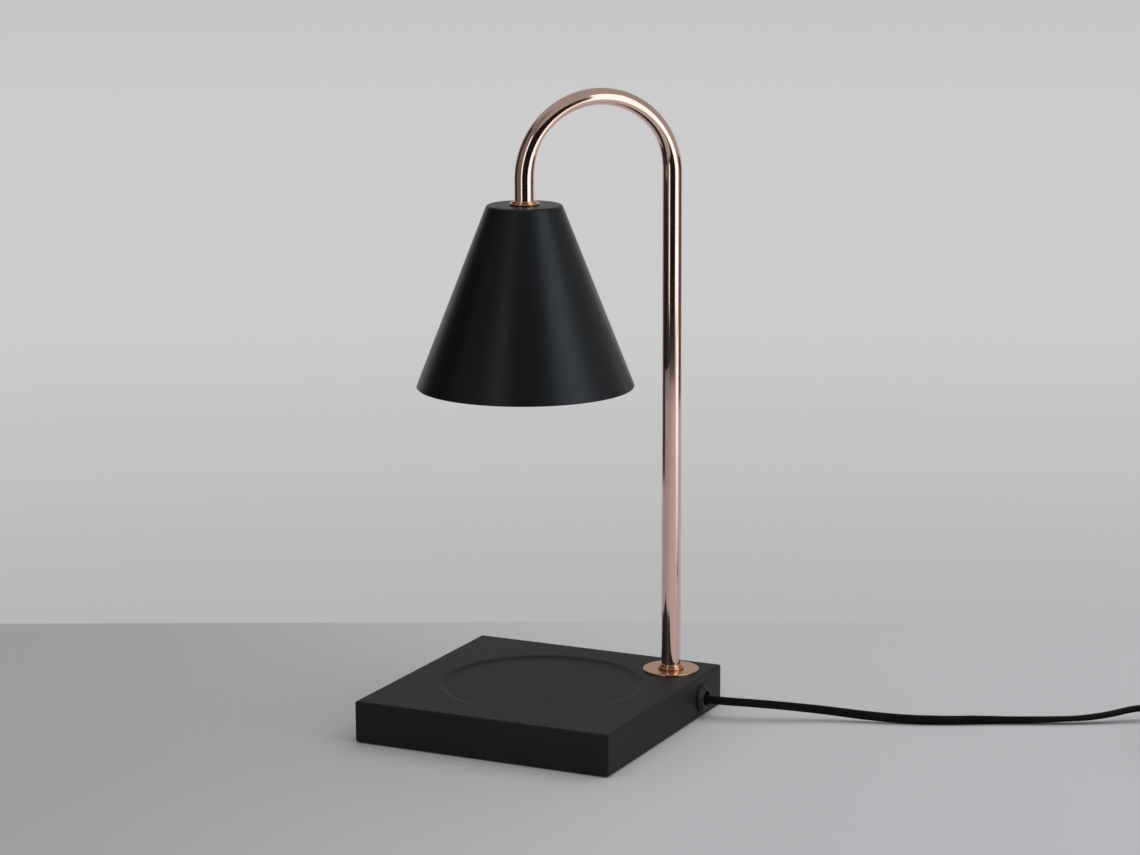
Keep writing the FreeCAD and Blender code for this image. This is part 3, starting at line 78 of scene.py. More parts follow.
SEAT_DEPTH = 1.2 * MM
STEM_PLAY = 0.1 * MM
BUSH_LIP = 0.8 * MM

base_low, base_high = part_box("base_shell")
stem_low, stem_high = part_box("stem_tube")
stem_axis = axis_of("stem_flange")
shade_axis = axis_of("shade")
tube_radius = stem_high.x - stem_axis.x
tube_bore = tube_radius + STEM_PLAY
bend_radius = (stem_axis - shade_axis).length / 2
tube_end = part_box("stem_bush_upper")[0].z + BUSH_LIP
seat_level = base_high.z - SEAT_DEPTH

# The flex, from the bushing to the dimmer and from the dimmer by way of the coil to
# the plug, in metres.
LAMP_ROUTE = [
    (0.0670, 0.0480, 0.0102), (0.0840, 0.0482, 0.0102), (0.1026, 0.0535, 0.0097),
    (0.1214, 0.0618, 0.0080), (0.1412, 0.0705, 0.0057), (0.1620, 0.0764, 0.0037),
    (0.1830, 0.0820, 0.00275), (0.2030, 0.0899, 0.00255), (0.2238, 0.1015, 0.0024),
    (0.2494, 0.1132, 0.0024), (0.2765, 0.1274, 0.0032), (0.2991, 0.1446, 0.0085),
    (0.3168, 0.1477, 0.0085),
]
COIL_ROUTE = [
    (0.4055, 0.1634, 0.0085), (0.4232, 0.1665, 0.0085), (0.4440, 0.1662, 0.0056),
    (0.4610, 0.1564, 0.0037), (0.4695, 0.1385, 0.0029), (0.4685, 0.1170, 0.0028),
    (0.4642, 0.0940, 0.0030), (0.4599, 0.0775, 0.0033),
]
PLUG_ROUTE = [
    (0.4010, 0.0280, 0.0079), (0.3850, 0.0264, 0.0043), (0.3695, 0.0268, 0.00275),
    (0.3543, 0.0342, 0.0039), (0.3442, 0.0479, 0.0075), (0.3411, 0.0656, 0.0075),
]
# How far the flat flex is rolled up from lying flat: (share of the route, degrees).
LAMP_ROLL = [(0.0, 55), (0.16, 55), (0.46, 76), (0.56, 74), (0.66, 36), (0.84, 10), (1.0, 0)]
COIL_ROLL = [(0.0, 0), (0.012, 0), (0.08, 90), (0.945, 90), (0.985, 10), (1.0, 0)]


# ------------------------------------------------------------------------ properties

def size_property(name, millimetres, description):
    return bpy.props.FloatProperty(name=name, description=description,
                                   default=millimetres * MM, unit="LENGTH")


def tint_property(name, default, of_what):
    return bpy.props.FloatVectorProperty(name=name, description="Colour of " + of_what,
                                         default=default, subtype="COLOR", size=3)


class LampSizes(bpy.types.PropertyGroup):
    """Sizes of the lamp that a user may want to change."""

    seat_radius: size_property("Seat radius", 55.6, "Radius of the candle seat at the base's top")
    seat_slope: size_property("Seat slope", 2.9, "Width of the sloping rim of the seat")
    seat_blend: size_property("Seat blend", 4.48, "Radius of the bends in the seat's rim")
    base_wall: size_property("Base sheet", 1.2, "Thickness of the base's sheet")
    base_corner: size_property("Base corner", 0.9, "Radius of the base's upright corners")
    base_edge: size_property("Base edge", 1.2, "Radius of the base's top edge")
    tube_wall: size_property("Tube wall", 1.0, "Wall of the gooseneck's tube")
    bend_flat: size_property("Bend flattening", 1.8,
                             "How far the inside of the bend is pressed flat")
    shade_wall: size_property("Shade sheet", 0.9, "Thickness of the shade's sheet")
    shade_top: size_property("Shade top", 20.2, "Radius of the shade's flat top")
    shade_edge: size_property("Shade edge", 1.8, "Radius of the bend round the shade's top")
    flex_width: size_property("Flex width", 5.4, "Width of the flat two-core flex")
    flex_thickness: size_property("Flex thickness", 3.2, "Thickness of the flat two-core flex")
    coil_turns: bpy.props.IntProperty(
        name="Coil turns", description="Whole turns of the tied coil", default=6, min=1)


class LampColours(bpy.types.PropertyGroup):
    """Colours of the lamp's finishes and of its surroundings."""

    coat: tint_property("Powder coat", (0.012, 0.012, 0.0125), "the base's powder coat")
    paint: tint_property("Shade paint", (0.0032, 0.0034, 0.004), "the shade's satin paint")
    plating: tint_property("Plating", (0.92, 0.66, 0.56), "the rose-gold plating")
    collar: tint_property("Collar plating", (0.9, 0.55, 0.38),
                          "the flange's and the collars' plating")
    flex: tint_property("Flex", (0.004, 0.0038, 0.0038), "the flex's sleeve")
    table: tint_property("Table", (0.42, 0.42, 0.435), "the table top")
    wall: tint_property("Wall", (0.615, 0.603, 0.612), "the wall behind the lamp")
    room: tint_property("Room", (0.34, 0.333, 0.335), "the room all round")


def sizes():
    return bpy.context.scene.lamp_sizes


def tint(name):
    return tuple(getattr(bpy.context.scene.lamp_colours, name))


# ------------------------------------------------------------------------ node maths

def arithmetic(operation):
    """An operator on wires and its reflected form, each of which adds a Math node."""
    def forward(wire, other):
        return wire.nodes.maths(operation, wire, other)

    def reflected(wire, other):
        return wire.nodes.maths(operation, other, wire)

    return forward, reflected


class Wire:
    """A socket that takes part in Python arithmetic."""

    def __init__(self, nodes, socket):
        self.nodes = nodes
        self.socket = socket

    __add__, __radd__ = arithmetic("ADD")
    __sub__, __rsub__ = arithmetic("SUBTRACT")
    __mul__, __rmul__ = arithmetic("MULTIPLY")
    __truediv__, __rtruediv__ = arithmetic("DIVIDE")


class Nodes:
    """A tree whose nodes are added by expressions."""

    def __init__(self, tree):
        self.tree = tree

    def node(self, kind, inputs=None, output=0, **settings):
        """Add a node, make its settings, feed its inputs and return an output."""
        node = self.tree.nodes.new(kind)
        for name, value in settings.items():
            setattr(node, name, value)
        for name, value in (inputs or {}).items():
            self.feed(node.inputs[name], value)
        return Wire(self, node.outputs[output])

    def feed(self, socket, value):
        """Link a wire or a list of wires to a socket, or set the socket's value."""
        if isinstance(value, list):
            for wire in value:
                self.feed(socket, wire)
        elif isinstance(value, Wire):
            self.tree.links.new(value.socket, socket)
        else:
            socket.default_value = value

    def maths(self, operation, first, second=0.0):
        return self.node("ShaderNodeMath", {0: first, 1: second}, operation=operation)

    def vector(self, x=0.0, y=0.0, z=0.0):
        return self.node("ShaderNodeCombineXYZ", {0: x, 1: y, 2: z})

    def parts(self, vector):
        """The x, y and z of a vector."""
        split = self.node("ShaderNodeSeparateXYZ", {0: vector}).socket.node
        return [Wire(self, socket) for socket in split.outputs]

    def between(self, value, low, high, to_low=0.0, to_high=1.0):
        """The value mapped smoothly from one range to another."""
        return self.node("ShaderNodeMapRange", {
            0: value, 1: low, 2: high, 3: to_low, 4: to_high}, interpolation_type="SMOOTHSTEP")

    def mix(self, share, first, second):
        """A colour between two colours."""
        first = (*first, 1) if isinstance(first, tuple) else first
        second = (*second, 1) if isinstance(second, tuple) else second
        return self.node("ShaderNodeMix", {0: share, 6: first, 7: second}, output=2,
                         data_type="RGBA")

    def measured(self, operation, place, other):
        """A number from two vectors: their dot product or the distance between them."""
        return self.node("ShaderNodeVectorMath", {0: place, 1: other}, output="Value",
                         operation=operation)


class Shader(Nodes):
    """A material whose surface is set by expressions."""

    def __init__(self, name, colour, roughness, metallic=0.0, specular=0.5):
        self.material = bpy.data.materials.new(name)
        self.material.use_nodes = True
        super().__init__(self.material.node_tree)
        self.surface = self.tree.nodes["Principled BSDF"]
        self.set("Base Color", (*colour, 1))
        self.set("Roughness", roughness)
        self.set("Metallic", metallic)
        self.set("Specular IOR Level", specular)
        self.place = self.node("ShaderNodeTexCoord", output="Object")

    def set(self, name, value):
        self.feed(self.surface.inputs[name], value)

    def tones(self, pattern, first, second, low=0.3, high=0.7):
        """Base colour that goes from one colour to another with a pattern."""
        self.set("Base Color", self.mix(self.between(pattern, low, high), first, second))

    def gloss(self, pattern, first, second, low=0.3, high=0.7):
        """Roughness that goes from one value to another with a pattern."""
        self.set("Roughness", self.between(pattern, low, high, first, second))

    def noise(self, per_metre, detail=2.0, place=None):
        return self.node("ShaderNodeTexNoise", {
            "Vector": place or self.place, "Scale": per_metre, "Detail": detail})

    def cells(self, per_metre, output=0):
        return self.node("ShaderNodeTexVoronoi", {
            "Vector": self.place, "Scale": per_metre}, output=output)

    def stretched(self, x, y, z):
        """Object coordinates stretched along the axes."""
        return self.node("ShaderNodeMapping", {"Vector": self.place, "Scale": (x, y, z)})

    def bump(self, height, depth, strength):
        """Raise the surface by a height from 0 to 1 times depth in metres."""
        self.set("Normal", self.node("ShaderNodeBump", {
            "Height": height, "Distance": depth, "Strength": strength}))


def scaled(colour, factor):
    """A colour made lighter or darker, as plain numbers."""
    return tuple(min(1.0, part * factor) for part in colour)


# -------------------------------------------------------------------------- finishes

def powder_coat():
    """Fine-grained matt powder coat of the base."""
    colour = tint("coat")
    shader = Shader("powder_coat", colour, 0.5, specular=0.2)
    grain = shader.noise(1500, 3)
    blotch = shader.noise(26, 3)
    shader.tones(grain * 0.6 + blotch * 0.4, scaled(colour, 0.8), scaled(colour, 1.25), 0.35, 0.65)
    shader.gloss(blotch, 0.48, 0.52)
    shader.bump(grain * 0.7 + shader.cells(900) * 0.3, 0.00012, 0.6)
    return shader.material


def satin_paint():
    """Satin black spray paint of the shade, with faint orange peel."""
    colour = tint("paint")
    shader = Shader("satin_paint", colour, 0.34, specular=0.44)
    # The blue specular tint is painted light: it gives the shade's highlight extra blue from the
    # window light.
    shader.set("Specular Tint", (0.84, 0.92, 1.0, 1.0))
    peel = shader.noise(420)
    drift = shader.noise(18)
    shader.tones(drift, scaled(colour, 0.88), scaled(colour, 1.15))
    shader.gloss(drift + peel * 0.2, 0.32, 0.37, 0.4, 0.8)
    shader.bump(peel, 0.00003, 0.4)
    return shader.material


def rose_gold(name, colour, rough):
    """Rose-gold plating with faint polishing lines along the tube."""
    shader = Shader(name, colour, rough, metallic=1.0)
    lines = shader.noise(260, 3, shader.stretched(6, 6, 0.35))
    smudge = shader.noise(45, 4)
    shader.tones(smudge, scaled(colour, 1.02), scaled(colour, 0.95), 0.35, 0.7)
    shader.gloss(smudge + lines * 0.3, rough * 0.8, rough * 1.2, 0.45, 0.85)
    shader.bump(lines, 0.000001, 0.2)
    return shader.material


def zinc_plate():
    """Zinc-plated steel with a faint spangle."""
    shader = Shader("zinc_plate", (0.6, 0.61, 0.63), 0.36, metallic=1.0)
    spangle = shader.node("ShaderNodeSeparateColor", {0: shader.cells(180, "Color")})
    shader.set("Base Color", shader.mix(spangle, (0.5, 0.51, 0.53), (0.68, 0.69, 0.7)))
    shader.gloss(spangle, 0.3, 0.45, 0.0, 1.0)
    shader.bump(shader.noise(700), 0.00003, 0.4)
    return shader.material


def screw_metal():
    """Bright zinc of the screws."""
    shader = Shader("screw_metal", (0.62, 0.61, 0.58), 0.28, metallic=1.0)
    wear = shader.noise(900, 3)
    shader.tones(wear, (0.5, 0.49, 0.46), (0.7, 0.69, 0.66), 0.35, 0.65)
    shader.gloss(wear, 0.22, 0.4)
    shader.bump(wear, 0.00002, 0.5)
    return shader.material


def cast_iron():
    """Rough grey iron of the weight."""
    shader = Shader("cast_iron", (0.1, 0.1, 0.105), 0.7, metallic=0.6)
    sand = shader.noise(420, 5)
    shader.tones(sand, (0.07, 0.07, 0.075), (0.15, 0.145, 0.14))
    shader.gloss(sand, 0.62, 0.82)
    shader.bump(sand, 0.0004, 0.7)
    return shader.material


def foot_rubber():
    """Matte rubber of the feet."""
    shader = Shader("foot_rubber", (0.018, 0.018, 0.018), 0.8)
    dust = shader.noise(260, 4)
    shader.tones(dust, (0.014, 0.014, 0.014), (0.05, 0.05, 0.048), 0.45, 0.75)
    shader.gloss(dust, 0.72, 0.9)
    shader.bump(shader.noise(1400), 0.00008, 0.6)
    return shader.material


def index_line(shader, middle, outward, width):
    """1 on a line that runs outward from a point, and 0 beside it."""
    arm = shader.node("ShaderNodeVectorMath", {0: shader.place, 1: middle}, operation="SUBTRACT")
    ahead = shader.measured("DOT_PRODUCT", arm, outward)
    across = shader.measured("DOT_PRODUCT", arm, (-outward[1], outward[0], 0.0))
    beside = shader.maths("ABSOLUTE", across)
    edge = 0.1 * MM
    return (shader.between(beside, width / 2, width / 2 + edge, 1.0, 0.0)
            * shader.between(ahead, 0.0, 10 * edge))


def moulded_black(name, roughness, texture, index=None):
    """Black moulded plastic with a spark-eroded texture this many cells per metre."""
    shader = Shader(name, (0.014, 0.014, 0.015), roughness, specular=0.25)
    tone = shader.noise(60, 3)
    colour = shader.mix(shader.between(tone, 0.3, 0.7), (0.011, 0.011, 0.012), (0.019, 0.019, 0.02))
    if index:
        colour = shader.mix(index_line(shader, *index), colour, (0.42, 0.42, 0.4))
    shader.set("Base Color", colour)
    shader.gloss(tone, roughness - 0.05, roughness + 0.06)
    shader.bump(shader.cells(texture), 0.00008, 0.6)
    return shader.material


def flex_sleeve():
    """Soft black PVC of the flex."""
    colour = tint("flex")
    shader = Shader("flex_sleeve", colour, 0.6, specular=0.12)
    rub = shader.noise(150, 4)
    shader.tones(rub, scaled(colour, 0.85), scaled(colour, 1.7), 0.4, 0.75)
    shader.gloss(rub, 0.52, 0.66)
    shader.bump(shader.noise(900), 0.00003, 0.4)
    return shader.material


def strap_weave():
    """Woven hook-and-loop strap of the coil's tie, with painted shade between its raised loops."""
    shader = Shader("strap_weave", (0.012, 0.012, 0.013), 0.9)
    loop_height_and_shade = shader.cells(1300)
    # Painted shade: the colour is lightest on the raised loops and darkest in the gaps between
    # them.
    shader.tones(loop_height_and_shade, (0.03, 0.03, 0.032), (0.008, 0.008, 0.009), 0.1, 0.7)
    shader.gloss(loop_height_and_shade, 0.85, 0.97, 0.0, 0.8)
    shader.bump(1 - loop_height_and_shade, 0.0003, 0.8)
    return shader.material


def glazed_ceramic():
    """Cream ceramic of the holder and the bulb's cap."""
    shader = Shader("glazed_ceramic", (0.78, 0.75, 0.68), 0.3)
    clay = shader.noise(120, 4)
    specks = shader.cells(700)
    shader.tones(clay + specks * 0.2, (0.82, 0.8, 0.74), (0.7, 0.67, 0.6), 0.4, 0.8)
    shader.gloss(clay, 0.25, 0.42)
    shader.bump(shader.noise(600, 3), 0.00006, 0.5)
    return shader.material


def nickel():
    """Nickel of the bulb's pins."""
    shader = Shader("pin_nickel", (0.72, 0.7, 0.66), 0.25, metallic=1.0)
    scratch = shader.noise(1200, 2, shader.stretched(1, 1, 0.1))
    shader.gloss(scratch, 0.18, 0.35)
    shader.bump(scratch, 0.00001, 0.4)
    return shader.material


def brass():
    """Stamped brass of the contacts and the plug's blades."""
    shader = Shader("stamped_brass", (0.72, 0.52, 0.24), 0.26, metallic=1.0)
    tarnish = shader.noise(140, 4)
    shader.tones(tarnish, (0.78, 0.58, 0.29), (0.6, 0.42, 0.2), 0.35, 0.7)
    shader.gloss(tarnish, 0.2, 0.36)
    shader.bump(shader.noise(1500, 2, shader.stretched(1, 0.1, 1)), 0.00001, 0.5)
    return shader.material


def mirror_coat():
    """Aluminised inside of the bulb's reflector."""
    shader = Shader("reflector_coat", (0.86, 0.87, 0.9), 0.07, metallic=1.0)
    shader.gloss(shader.noise(90, 3), 0.04, 0.12)
    shader.bump(shader.cells(420), 0.0001, 0.35)
    return shader.material


def clear_glass(name):
    """Clear glass of the bulb's front and capsule."""
    shader = Shader(name, (0.96, 0.97, 0.97), 0.03)
    shader.set("Transmission Weight", 1.0)
    shader.set("IOR", 1.47)
    ripple = shader.noise(160)
    shader.gloss(ripple, 0.01, 0.05)
    shader.bump(ripple, 0.00002, 0.3)
    return shader.material


def wire_sleeve(name, colour):
    """Silicone sleeve of a single wire."""
    shader = Shader(name, colour, 0.5)
    tone = shader.noise(300, 3)
    shader.tones(tone, scaled(colour, 0.8), scaled(colour, 1.2))
    shader.gloss(tone, 0.42, 0.6)
    shader.bump(tone, 0.00003, 0.4)
    return shader.material


def board_laminate():
    """Green solder mask over copper tracks."""
    mask = (0.02, 0.12, 0.04)
    shader = Shader("board_laminate", mask, 0.35)
    tracks = shader.node("ShaderNodeTexBrick", {
        "Vector": shader.place, "Scale": 90.0, "Mortar Size": 0.03}, output="Fac")
    shader.set("Base Color", shader.mix(tracks, mask, (0.06, 0.22, 0.08)))
    shader.bump(tracks, 0.00005, 0.5)
    return shader.material


def natural_nylon():
    """Milky nylon of the terminal block and small parts."""
    shader = Shader("natural_nylon", (0.62, 0.6, 0.54), 0.45)
    flow = shader.noise(80, 4)
    shader.tones(flow, (0.66, 0.64, 0.58), (0.54, 0.52, 0.46))
    shader.gloss(flow, 0.38, 0.52)
    shader.bump(shader.noise(700), 0.00004, 0.4)
    return shader.material


def table_top():
    """Matt pale lacquer of the table, with painted shade that darkens it towards the left, away
    from the window light.
    """
    colour = tint("table")
    shader = Shader("table_top", colour, 0.8, specular=0.0)
    # Painted shade: the colour darkens towards the left, where the window light falls off; the
    # noise makes the gradient a little uneven.
    across = shader.measured("DOT_PRODUCT", shader.place, (0.902, 0.432, 0.0))
    shader.tones(across + shader.noise(2.5, 3) * 0.06, scaled(colour, 0.8), colour, -0.27, 0.12)
    return shader.material


def sill_board():
    """Board that lies towards the window, which only reflections show, painted from grey near the
    lamp to white further out as a pool of window light.
    """
    shader = Shader("sill_board", (0.8, 0.8, 0.8), 0.9, specular=0.0)
    away = shader.measured("DISTANCE", shader.place, tuple(stem_axis))
    # Painted light: the board grows brighter away from the lamp, standing for the window light on
    # the table.
    shader.tones(away, (0.42, 0.43, 0.44), (0.98, 1.0, 1.0), 0.16, 0.7)
    return shader.material


def card_board(name, tone):
    """Grey card of one tone, which only reflections show: a painted reflection of the room's darker
    parts.
    """
    colour = (tone, tone, tone)
    shader = Shader(name, colour, 0.9, specular=0.1)
    shader.set("Base Color", shader.mix(
        shader.noise(3.0), scaled(colour, 0.8), scaled(colour, 1.2)))
    return shader.material


MADE = {}


def finish(maker, *words):
    """A material, made the first time that it is asked for."""
    key = (maker.__name__,) + words
    if key not in MADE:
        MADE[key] = maker(*words)
    return MADE[key]


def plain_black():
    return finish(moulded_black, "moulded_black", 0.5, 900)


# ---------------------------------------------------------------------- mesh helpers

LEAST_CORNER = 0.2 * MM


def settled(name, mesh, sharp, material=None):
    """A finished object made from a mesh that has its place in it."""
    work = bmesh.new()
    work.from_mesh(mesh)
    bmesh.ops.remove_doubles(work, verts=work.verts, dist=1e-6)
    bmesh.ops.dissolve_degenerate(work, edges=work.edges, dist=1e-7)
    bmesh.ops.recalc_face_normals(work, faces=work.faces)
    work.to_mesh(mesh)
    work.free()
    mesh.name = name
    mesh.shade_smooth()
    mesh.set_sharp_from_angle(angle=math.radians(sharp))
    if material:
        mesh.materials.append(material)
    piece = bpy.data.objects.new(name, mesh)
    bpy.context.scene.collection.objects.link(piece)
    return piece


def piece_from(name, points, faces, material, sharp=38):
    """A finished object from plain points and faces."""
    mesh = bpy.data.meshes.new(name)
    mesh.from_pydata([tuple(point) for point in points], [], faces)
    return settled(name, mesh, sharp, material)


def joined_rings(rings, closed=False, caps=True):
    """Points and faces of a skin over rings that have the same number of points."""
    count = len(rings[0])
    points = [point for ring in rings for point in ring]
    faces = []
    for row in range(len(rings) if closed else len(rings) - 1):
        here = row * count
        after = ((row + 1) % len(rings)) * count
        for step in range(count):
            turn = (step + 1) % count
            faces.append((here + step, here + turn, after + turn, after + step))
    if caps and not closed:
        faces.append(tuple(range(count)))
        faces.append(tuple(range(len(points) - count, len(points))))
    return points, faces


def skinned(name, rings, material, sharp=38, **how):
    """A finished object whose skin runs over rings."""
    points, faces = joined_rings(rings, **how)
    return piece_from(name, points, faces, material, sharp)


def rounded(corners, steps=5, closed=True):
    """An outline through (x, y, radius) corners, each rounded by an arc."""
    hold_share, room = 0.35, 2.2
    outline = []
    count = len(corners)
    for index, (x, y, radius) in enumerate(corners):
        corner = Vector((x, y))
        is_end = not closed and index in (0, count - 1)
        if is_end or radius <= 0:
            outline.append(corner)
            continue
        back = (Vector(corners[index - 1][:2]) - corner).normalized()
        ahead = (Vector(corners[(index + 1) % count][:2]) - corner).normalized()
        half = back.angle(ahead) / 2
        reach = radius / math.tan(half)
        middle = corner + (back + ahead).normalized() * (radius / math.sin(half))
        start = corner + back * reach
        end = corner + ahead * reach
        hold = radius * hold_share
        if (Vector(corners[index - 1][:2]) - start).length > hold * room:
            outline.append(start + back * hold)
        from_middle = start - middle
        sweep = from_middle.angle_signed(end - middle)
        for step in range(steps + 1):
            outline.append(middle + Matrix.Rotation(-sweep * step / steps, 2) @ from_middle)
        if (Vector(corners[(index + 1) % count][:2]) - end).length > hold * room:
            outline.append(end + ahead * hold)
    return outline


def turned(name, outline, centre, material, sides=128, along=(0, 0, 1), closed=True, sharp=38):
    """A lathe-turned piece from (radius, height) points about an axis."""
    points = [(radius, 0, height) for radius, height in outline]
    if closed:
        points.append(points[0])
    turn = Vector(along).to_track_quat("Z", "Y").to_matrix().to_4x4()
    place = Matrix.Translation(centre) @ turn
    return lathe_tree(material).run(name, seed_object(name + "_outline", points), place, sharp,
                                    Sides=sides)


def along_path(name, path, sections, material, sharp=50):
    """A skin over sections that stand square to a path; sections[i] holds (side, up) pairs."""
    rings = []
    for index, point in enumerate(path):
        before = path[max(index - 1, 0)]
        after = path[min(index + 1, len(path) - 1)]
        way = (after - before).normalized()
        side = way.cross(Vector((0, 0, 1)))
        side = side.normalized() if side.length > 1e-6 else Vector((1, 0, 0))
        up = side.cross(way)
        rings.append([point + side * a + up * b for a, b in sections[index]])
    return skinned(name, rings, material, sharp)


def rounded_square(half_x, half_y, corner, per_side=24, per_corner=6):
    """Points round a rectangle with rounded corners, the same number for any size."""
    def on_arc(sx, sy, degrees):
        angle = math.radians(degrees)
        middle = Vector((sx * (half_x - corner), sy * (half_y - corner)))
        return middle + Vector((math.cos(angle), math.sin(angle))) * corner

    points = []
    turns = ((1, 1, 0), (-1, 1, 90), (-1, -1, 180), (1, -1, 270))
    for index, (sx, sy, start) in enumerate(turns):
        points += [on_arc(sx, sy, start + 90 * step / per_corner)
                   for step in range(per_corner + 1)]
        origin, target = points[-1], on_arc(*turns[(index + 1) % 4])
        points += [origin.lerp(target, step / per_side) for step in range(1, per_side)]
    return points


def soft_block(name, half_x, half_y, corner, layers, material, place, sharp=38):
    """A moulded block: a rounded rectangle in layers of (inset, height)."""
    rings = []
    for inset, height in layers:
        outline = rounded_square(half_x - inset, half_y - inset,
                                 max(corner - inset, LEAST_CORNER), per_side=8)
        rings.append([place @ Vector((x, y, height)) for x, y in outline])
    return skinned(name, rings, material, sharp)


def edge_arc(radius, top, steps=5, upward=True):
    """(inset, height) layers that round the edge of a block's top or bottom."""
    sign = 1 if upward else -1
    layers = []
    for step in range(steps + 1):
        angle = math.radians(90 * step / steps)
        layers.append((radius * (1 - math.cos(angle)),
                       top - sign * radius * (1 - math.sin(angle))))
    return layers


def join(pieces, name):
    """Several pieces as one object, which has none of their materials."""
    work = bmesh.new()
    for piece in pieces:
        work.from_mesh(piece.data)
        bpy.data.objects.remove(piece)
    mesh = bpy.data.meshes.new(name)
    work.to_mesh(mesh)
    work.free()
    return settled(name, mesh, 38)


def show(piece, slot, *nodes, body=BODY):
    """Put a finished piece on its body in place of CAD nodes."""
    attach(piece, body)
    if nodes:
        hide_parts(*nodes)
    return piece


def paint_nodes(material, *names):
    """Give CAD nodes a finish."""
    for name in names:
        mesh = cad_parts[name].data
        mesh.materials.clear()
        mesh.materials.append(material)


def turn_and_place(x, y, degrees):
    """The place of a piece that lies at x, y in metres, turned about the upright axis."""
    return Matrix.Translation((x, y, 0)) @ Matrix.Rotation(math.radians(degrees), 4, "Z")


# --------------------------------------------------------------- geometry node trees

class Tree(Nodes):
    """A Geometry Nodes tree with named inputs, run once to make a plain mesh."""

    def __init__(self, name, **inputs):
        super().__init__(bpy.data.node_groups.new(name, "GeometryNodeTree"))
        face = self.tree.interface
        self.keys = {}
        face.new_socket("Geometry", in_out="INPUT", socket_type="NodeSocketGeometry")
        for label, kind in inputs.items():
            item = face.new_socket(label, in_out="INPUT", socket_type="NodeSocket" + kind)
            self.keys[label] = item.identifier
        face.new_socket("Geometry", in_out="OUTPUT", socket_type="NodeSocketGeometry")
        self.start = self.tree.nodes.new("NodeGroupInput")
        self.end = self.tree.nodes.new("NodeGroupOutput")

    def given(self, *labels):
        return [Wire(self, self.start.outputs[label]) for label in labels]

    def moved_up(self, geometry, height):
        return self.node("GeometryNodeTransform", {
            "Geometry": geometry, "Translation": self.vector(z=height)})

    def finish(self, geometry, material):
        """End the tree with real geometry in one material."""
        real = self.node("GeometryNodeRealizeInstances", {"Geometry": geometry})
        painted = self.node("GeometryNodeSetMaterial", {"Geometry": real, "Material": material})
        self.feed(self.end.inputs[0], painted)

    def run(self, name, obj, place, sharp=38, **values):
        """Run the tree on an object and return its result as a plain piece."""
        modifier = obj.modifiers.new(self.tree.name, "NODES")
        modifier.node_group = self.tree
        for label, value in values.items():
            modifier[self.keys[label]] = value
        bpy.context.view_layer.update()
        evaluated = obj.evaluated_get(bpy.context.evaluated_depsgraph_get())
        mesh = bpy.data.meshes.new_from_object(evaluated)
        obj.modifiers.remove(modifier)
        mesh.transform(place)
        bpy.data.objects.remove(obj)
        return settled(name, mesh, sharp)


def seed_object(name, points=((0, 0, 0),)):
    """A loose-point object that a tree starts from."""
    mesh = bpy.data.meshes.new(name)
    mesh.from_pydata([tuple(point) for point in points], [], [])
    obj = bpy.data.objects.new(name, mesh)
    bpy.context.scene.collection.objects.link(obj)
    return obj


def screw_tree(material):
    """Pan-head screws, heads down, one at each point of the object."""
    tree = Tree("screws", Head="Float", Dome="Float", Shank="Float", Length="Float")
    radius, dome, shank, length = tree.given("Head", "Dome", "Shank", "Length")
    head = tree.node("GeometryNodeMeshCone", {
        "Vertices": 32, "Radius Top": radius, "Radius Bottom": radius * 0.72, "Depth": dome})
    arm, narrow, deep = radius * 0.95, radius * 0.2, dome * 1.1
    cross = [tree.node("GeometryNodeMeshCube", {"Size": tree.vector(x, y, deep)})
             for x, y in ((arm, narrow), (narrow, arm))]
    slot = tree.node("GeometryNodeMeshBoolean", {"Mesh 2": cross}, operation="UNION")
    slot = tree.moved_up(slot, dome * -0.1)
    head = tree.node("GeometryNodeMeshBoolean", {"Mesh 1": head, "Mesh 2": slot},
                     operation="DIFFERENCE")
    rod = tree.node("GeometryNodeMeshCylinder", {
        "Vertices": 24, "Radius": shank, "Depth": length})
    rod = tree.moved_up(rod, dome + length * 0.5)
    whole = tree.node("GeometryNodeJoinGeometry", {"Geometry": [head, rod]})
    tree.finish(tree.node("GeometryNodeInstanceOnPoints", {
        "Points": tree.given("Geometry")[0], "Instance": whole}), material)
    return tree


def rib_tree(material):
    """Rings along the axis that shrink from one end to the other, on a tapered sleeve."""
    tree = Tree("strain_relief_ribs", Length="Float", Base="Float", Tip="Float",
                Groove="Float", Ribs="Int")
    length, base, tip, groove, ribs = tree.given("Length", "Base", "Tip", "Groove", "Ribs")
    step = length / ribs
    thick = step * 0.6
    line = tree.node("GeometryNodeMeshLine", {
        "Count": ribs, "Start Location": tree.vector(z=thick * 0.5),
        "Offset": tree.vector(z=step)}, mode="OFFSET")
    ring = tree.node("GeometryNodeMeshCylinder", {
        "Vertices": 48, "Side Segments": 1, "Radius": 1.0, "Depth": 1.0})
    height = tree.parts(tree.node("GeometryNodeInputPosition"))[2]
    radius = base - height / length * (base - tip)
    rings = tree.node("GeometryNodeInstanceOnPoints", {
        "Points": line, "Instance": ring, "Scale": tree.vector(radius, radius, thick)})
    sleeve = tree.node("GeometryNodeMeshCone", {
        "Vertices": 48, "Radius Bottom": base - groove, "Radius Top": tip - groove,
        "Depth": length})
    tree.finish(tree.node("GeometryNodeJoinGeometry", {"Geometry": [rings, sleeve]}), material)
    return tree


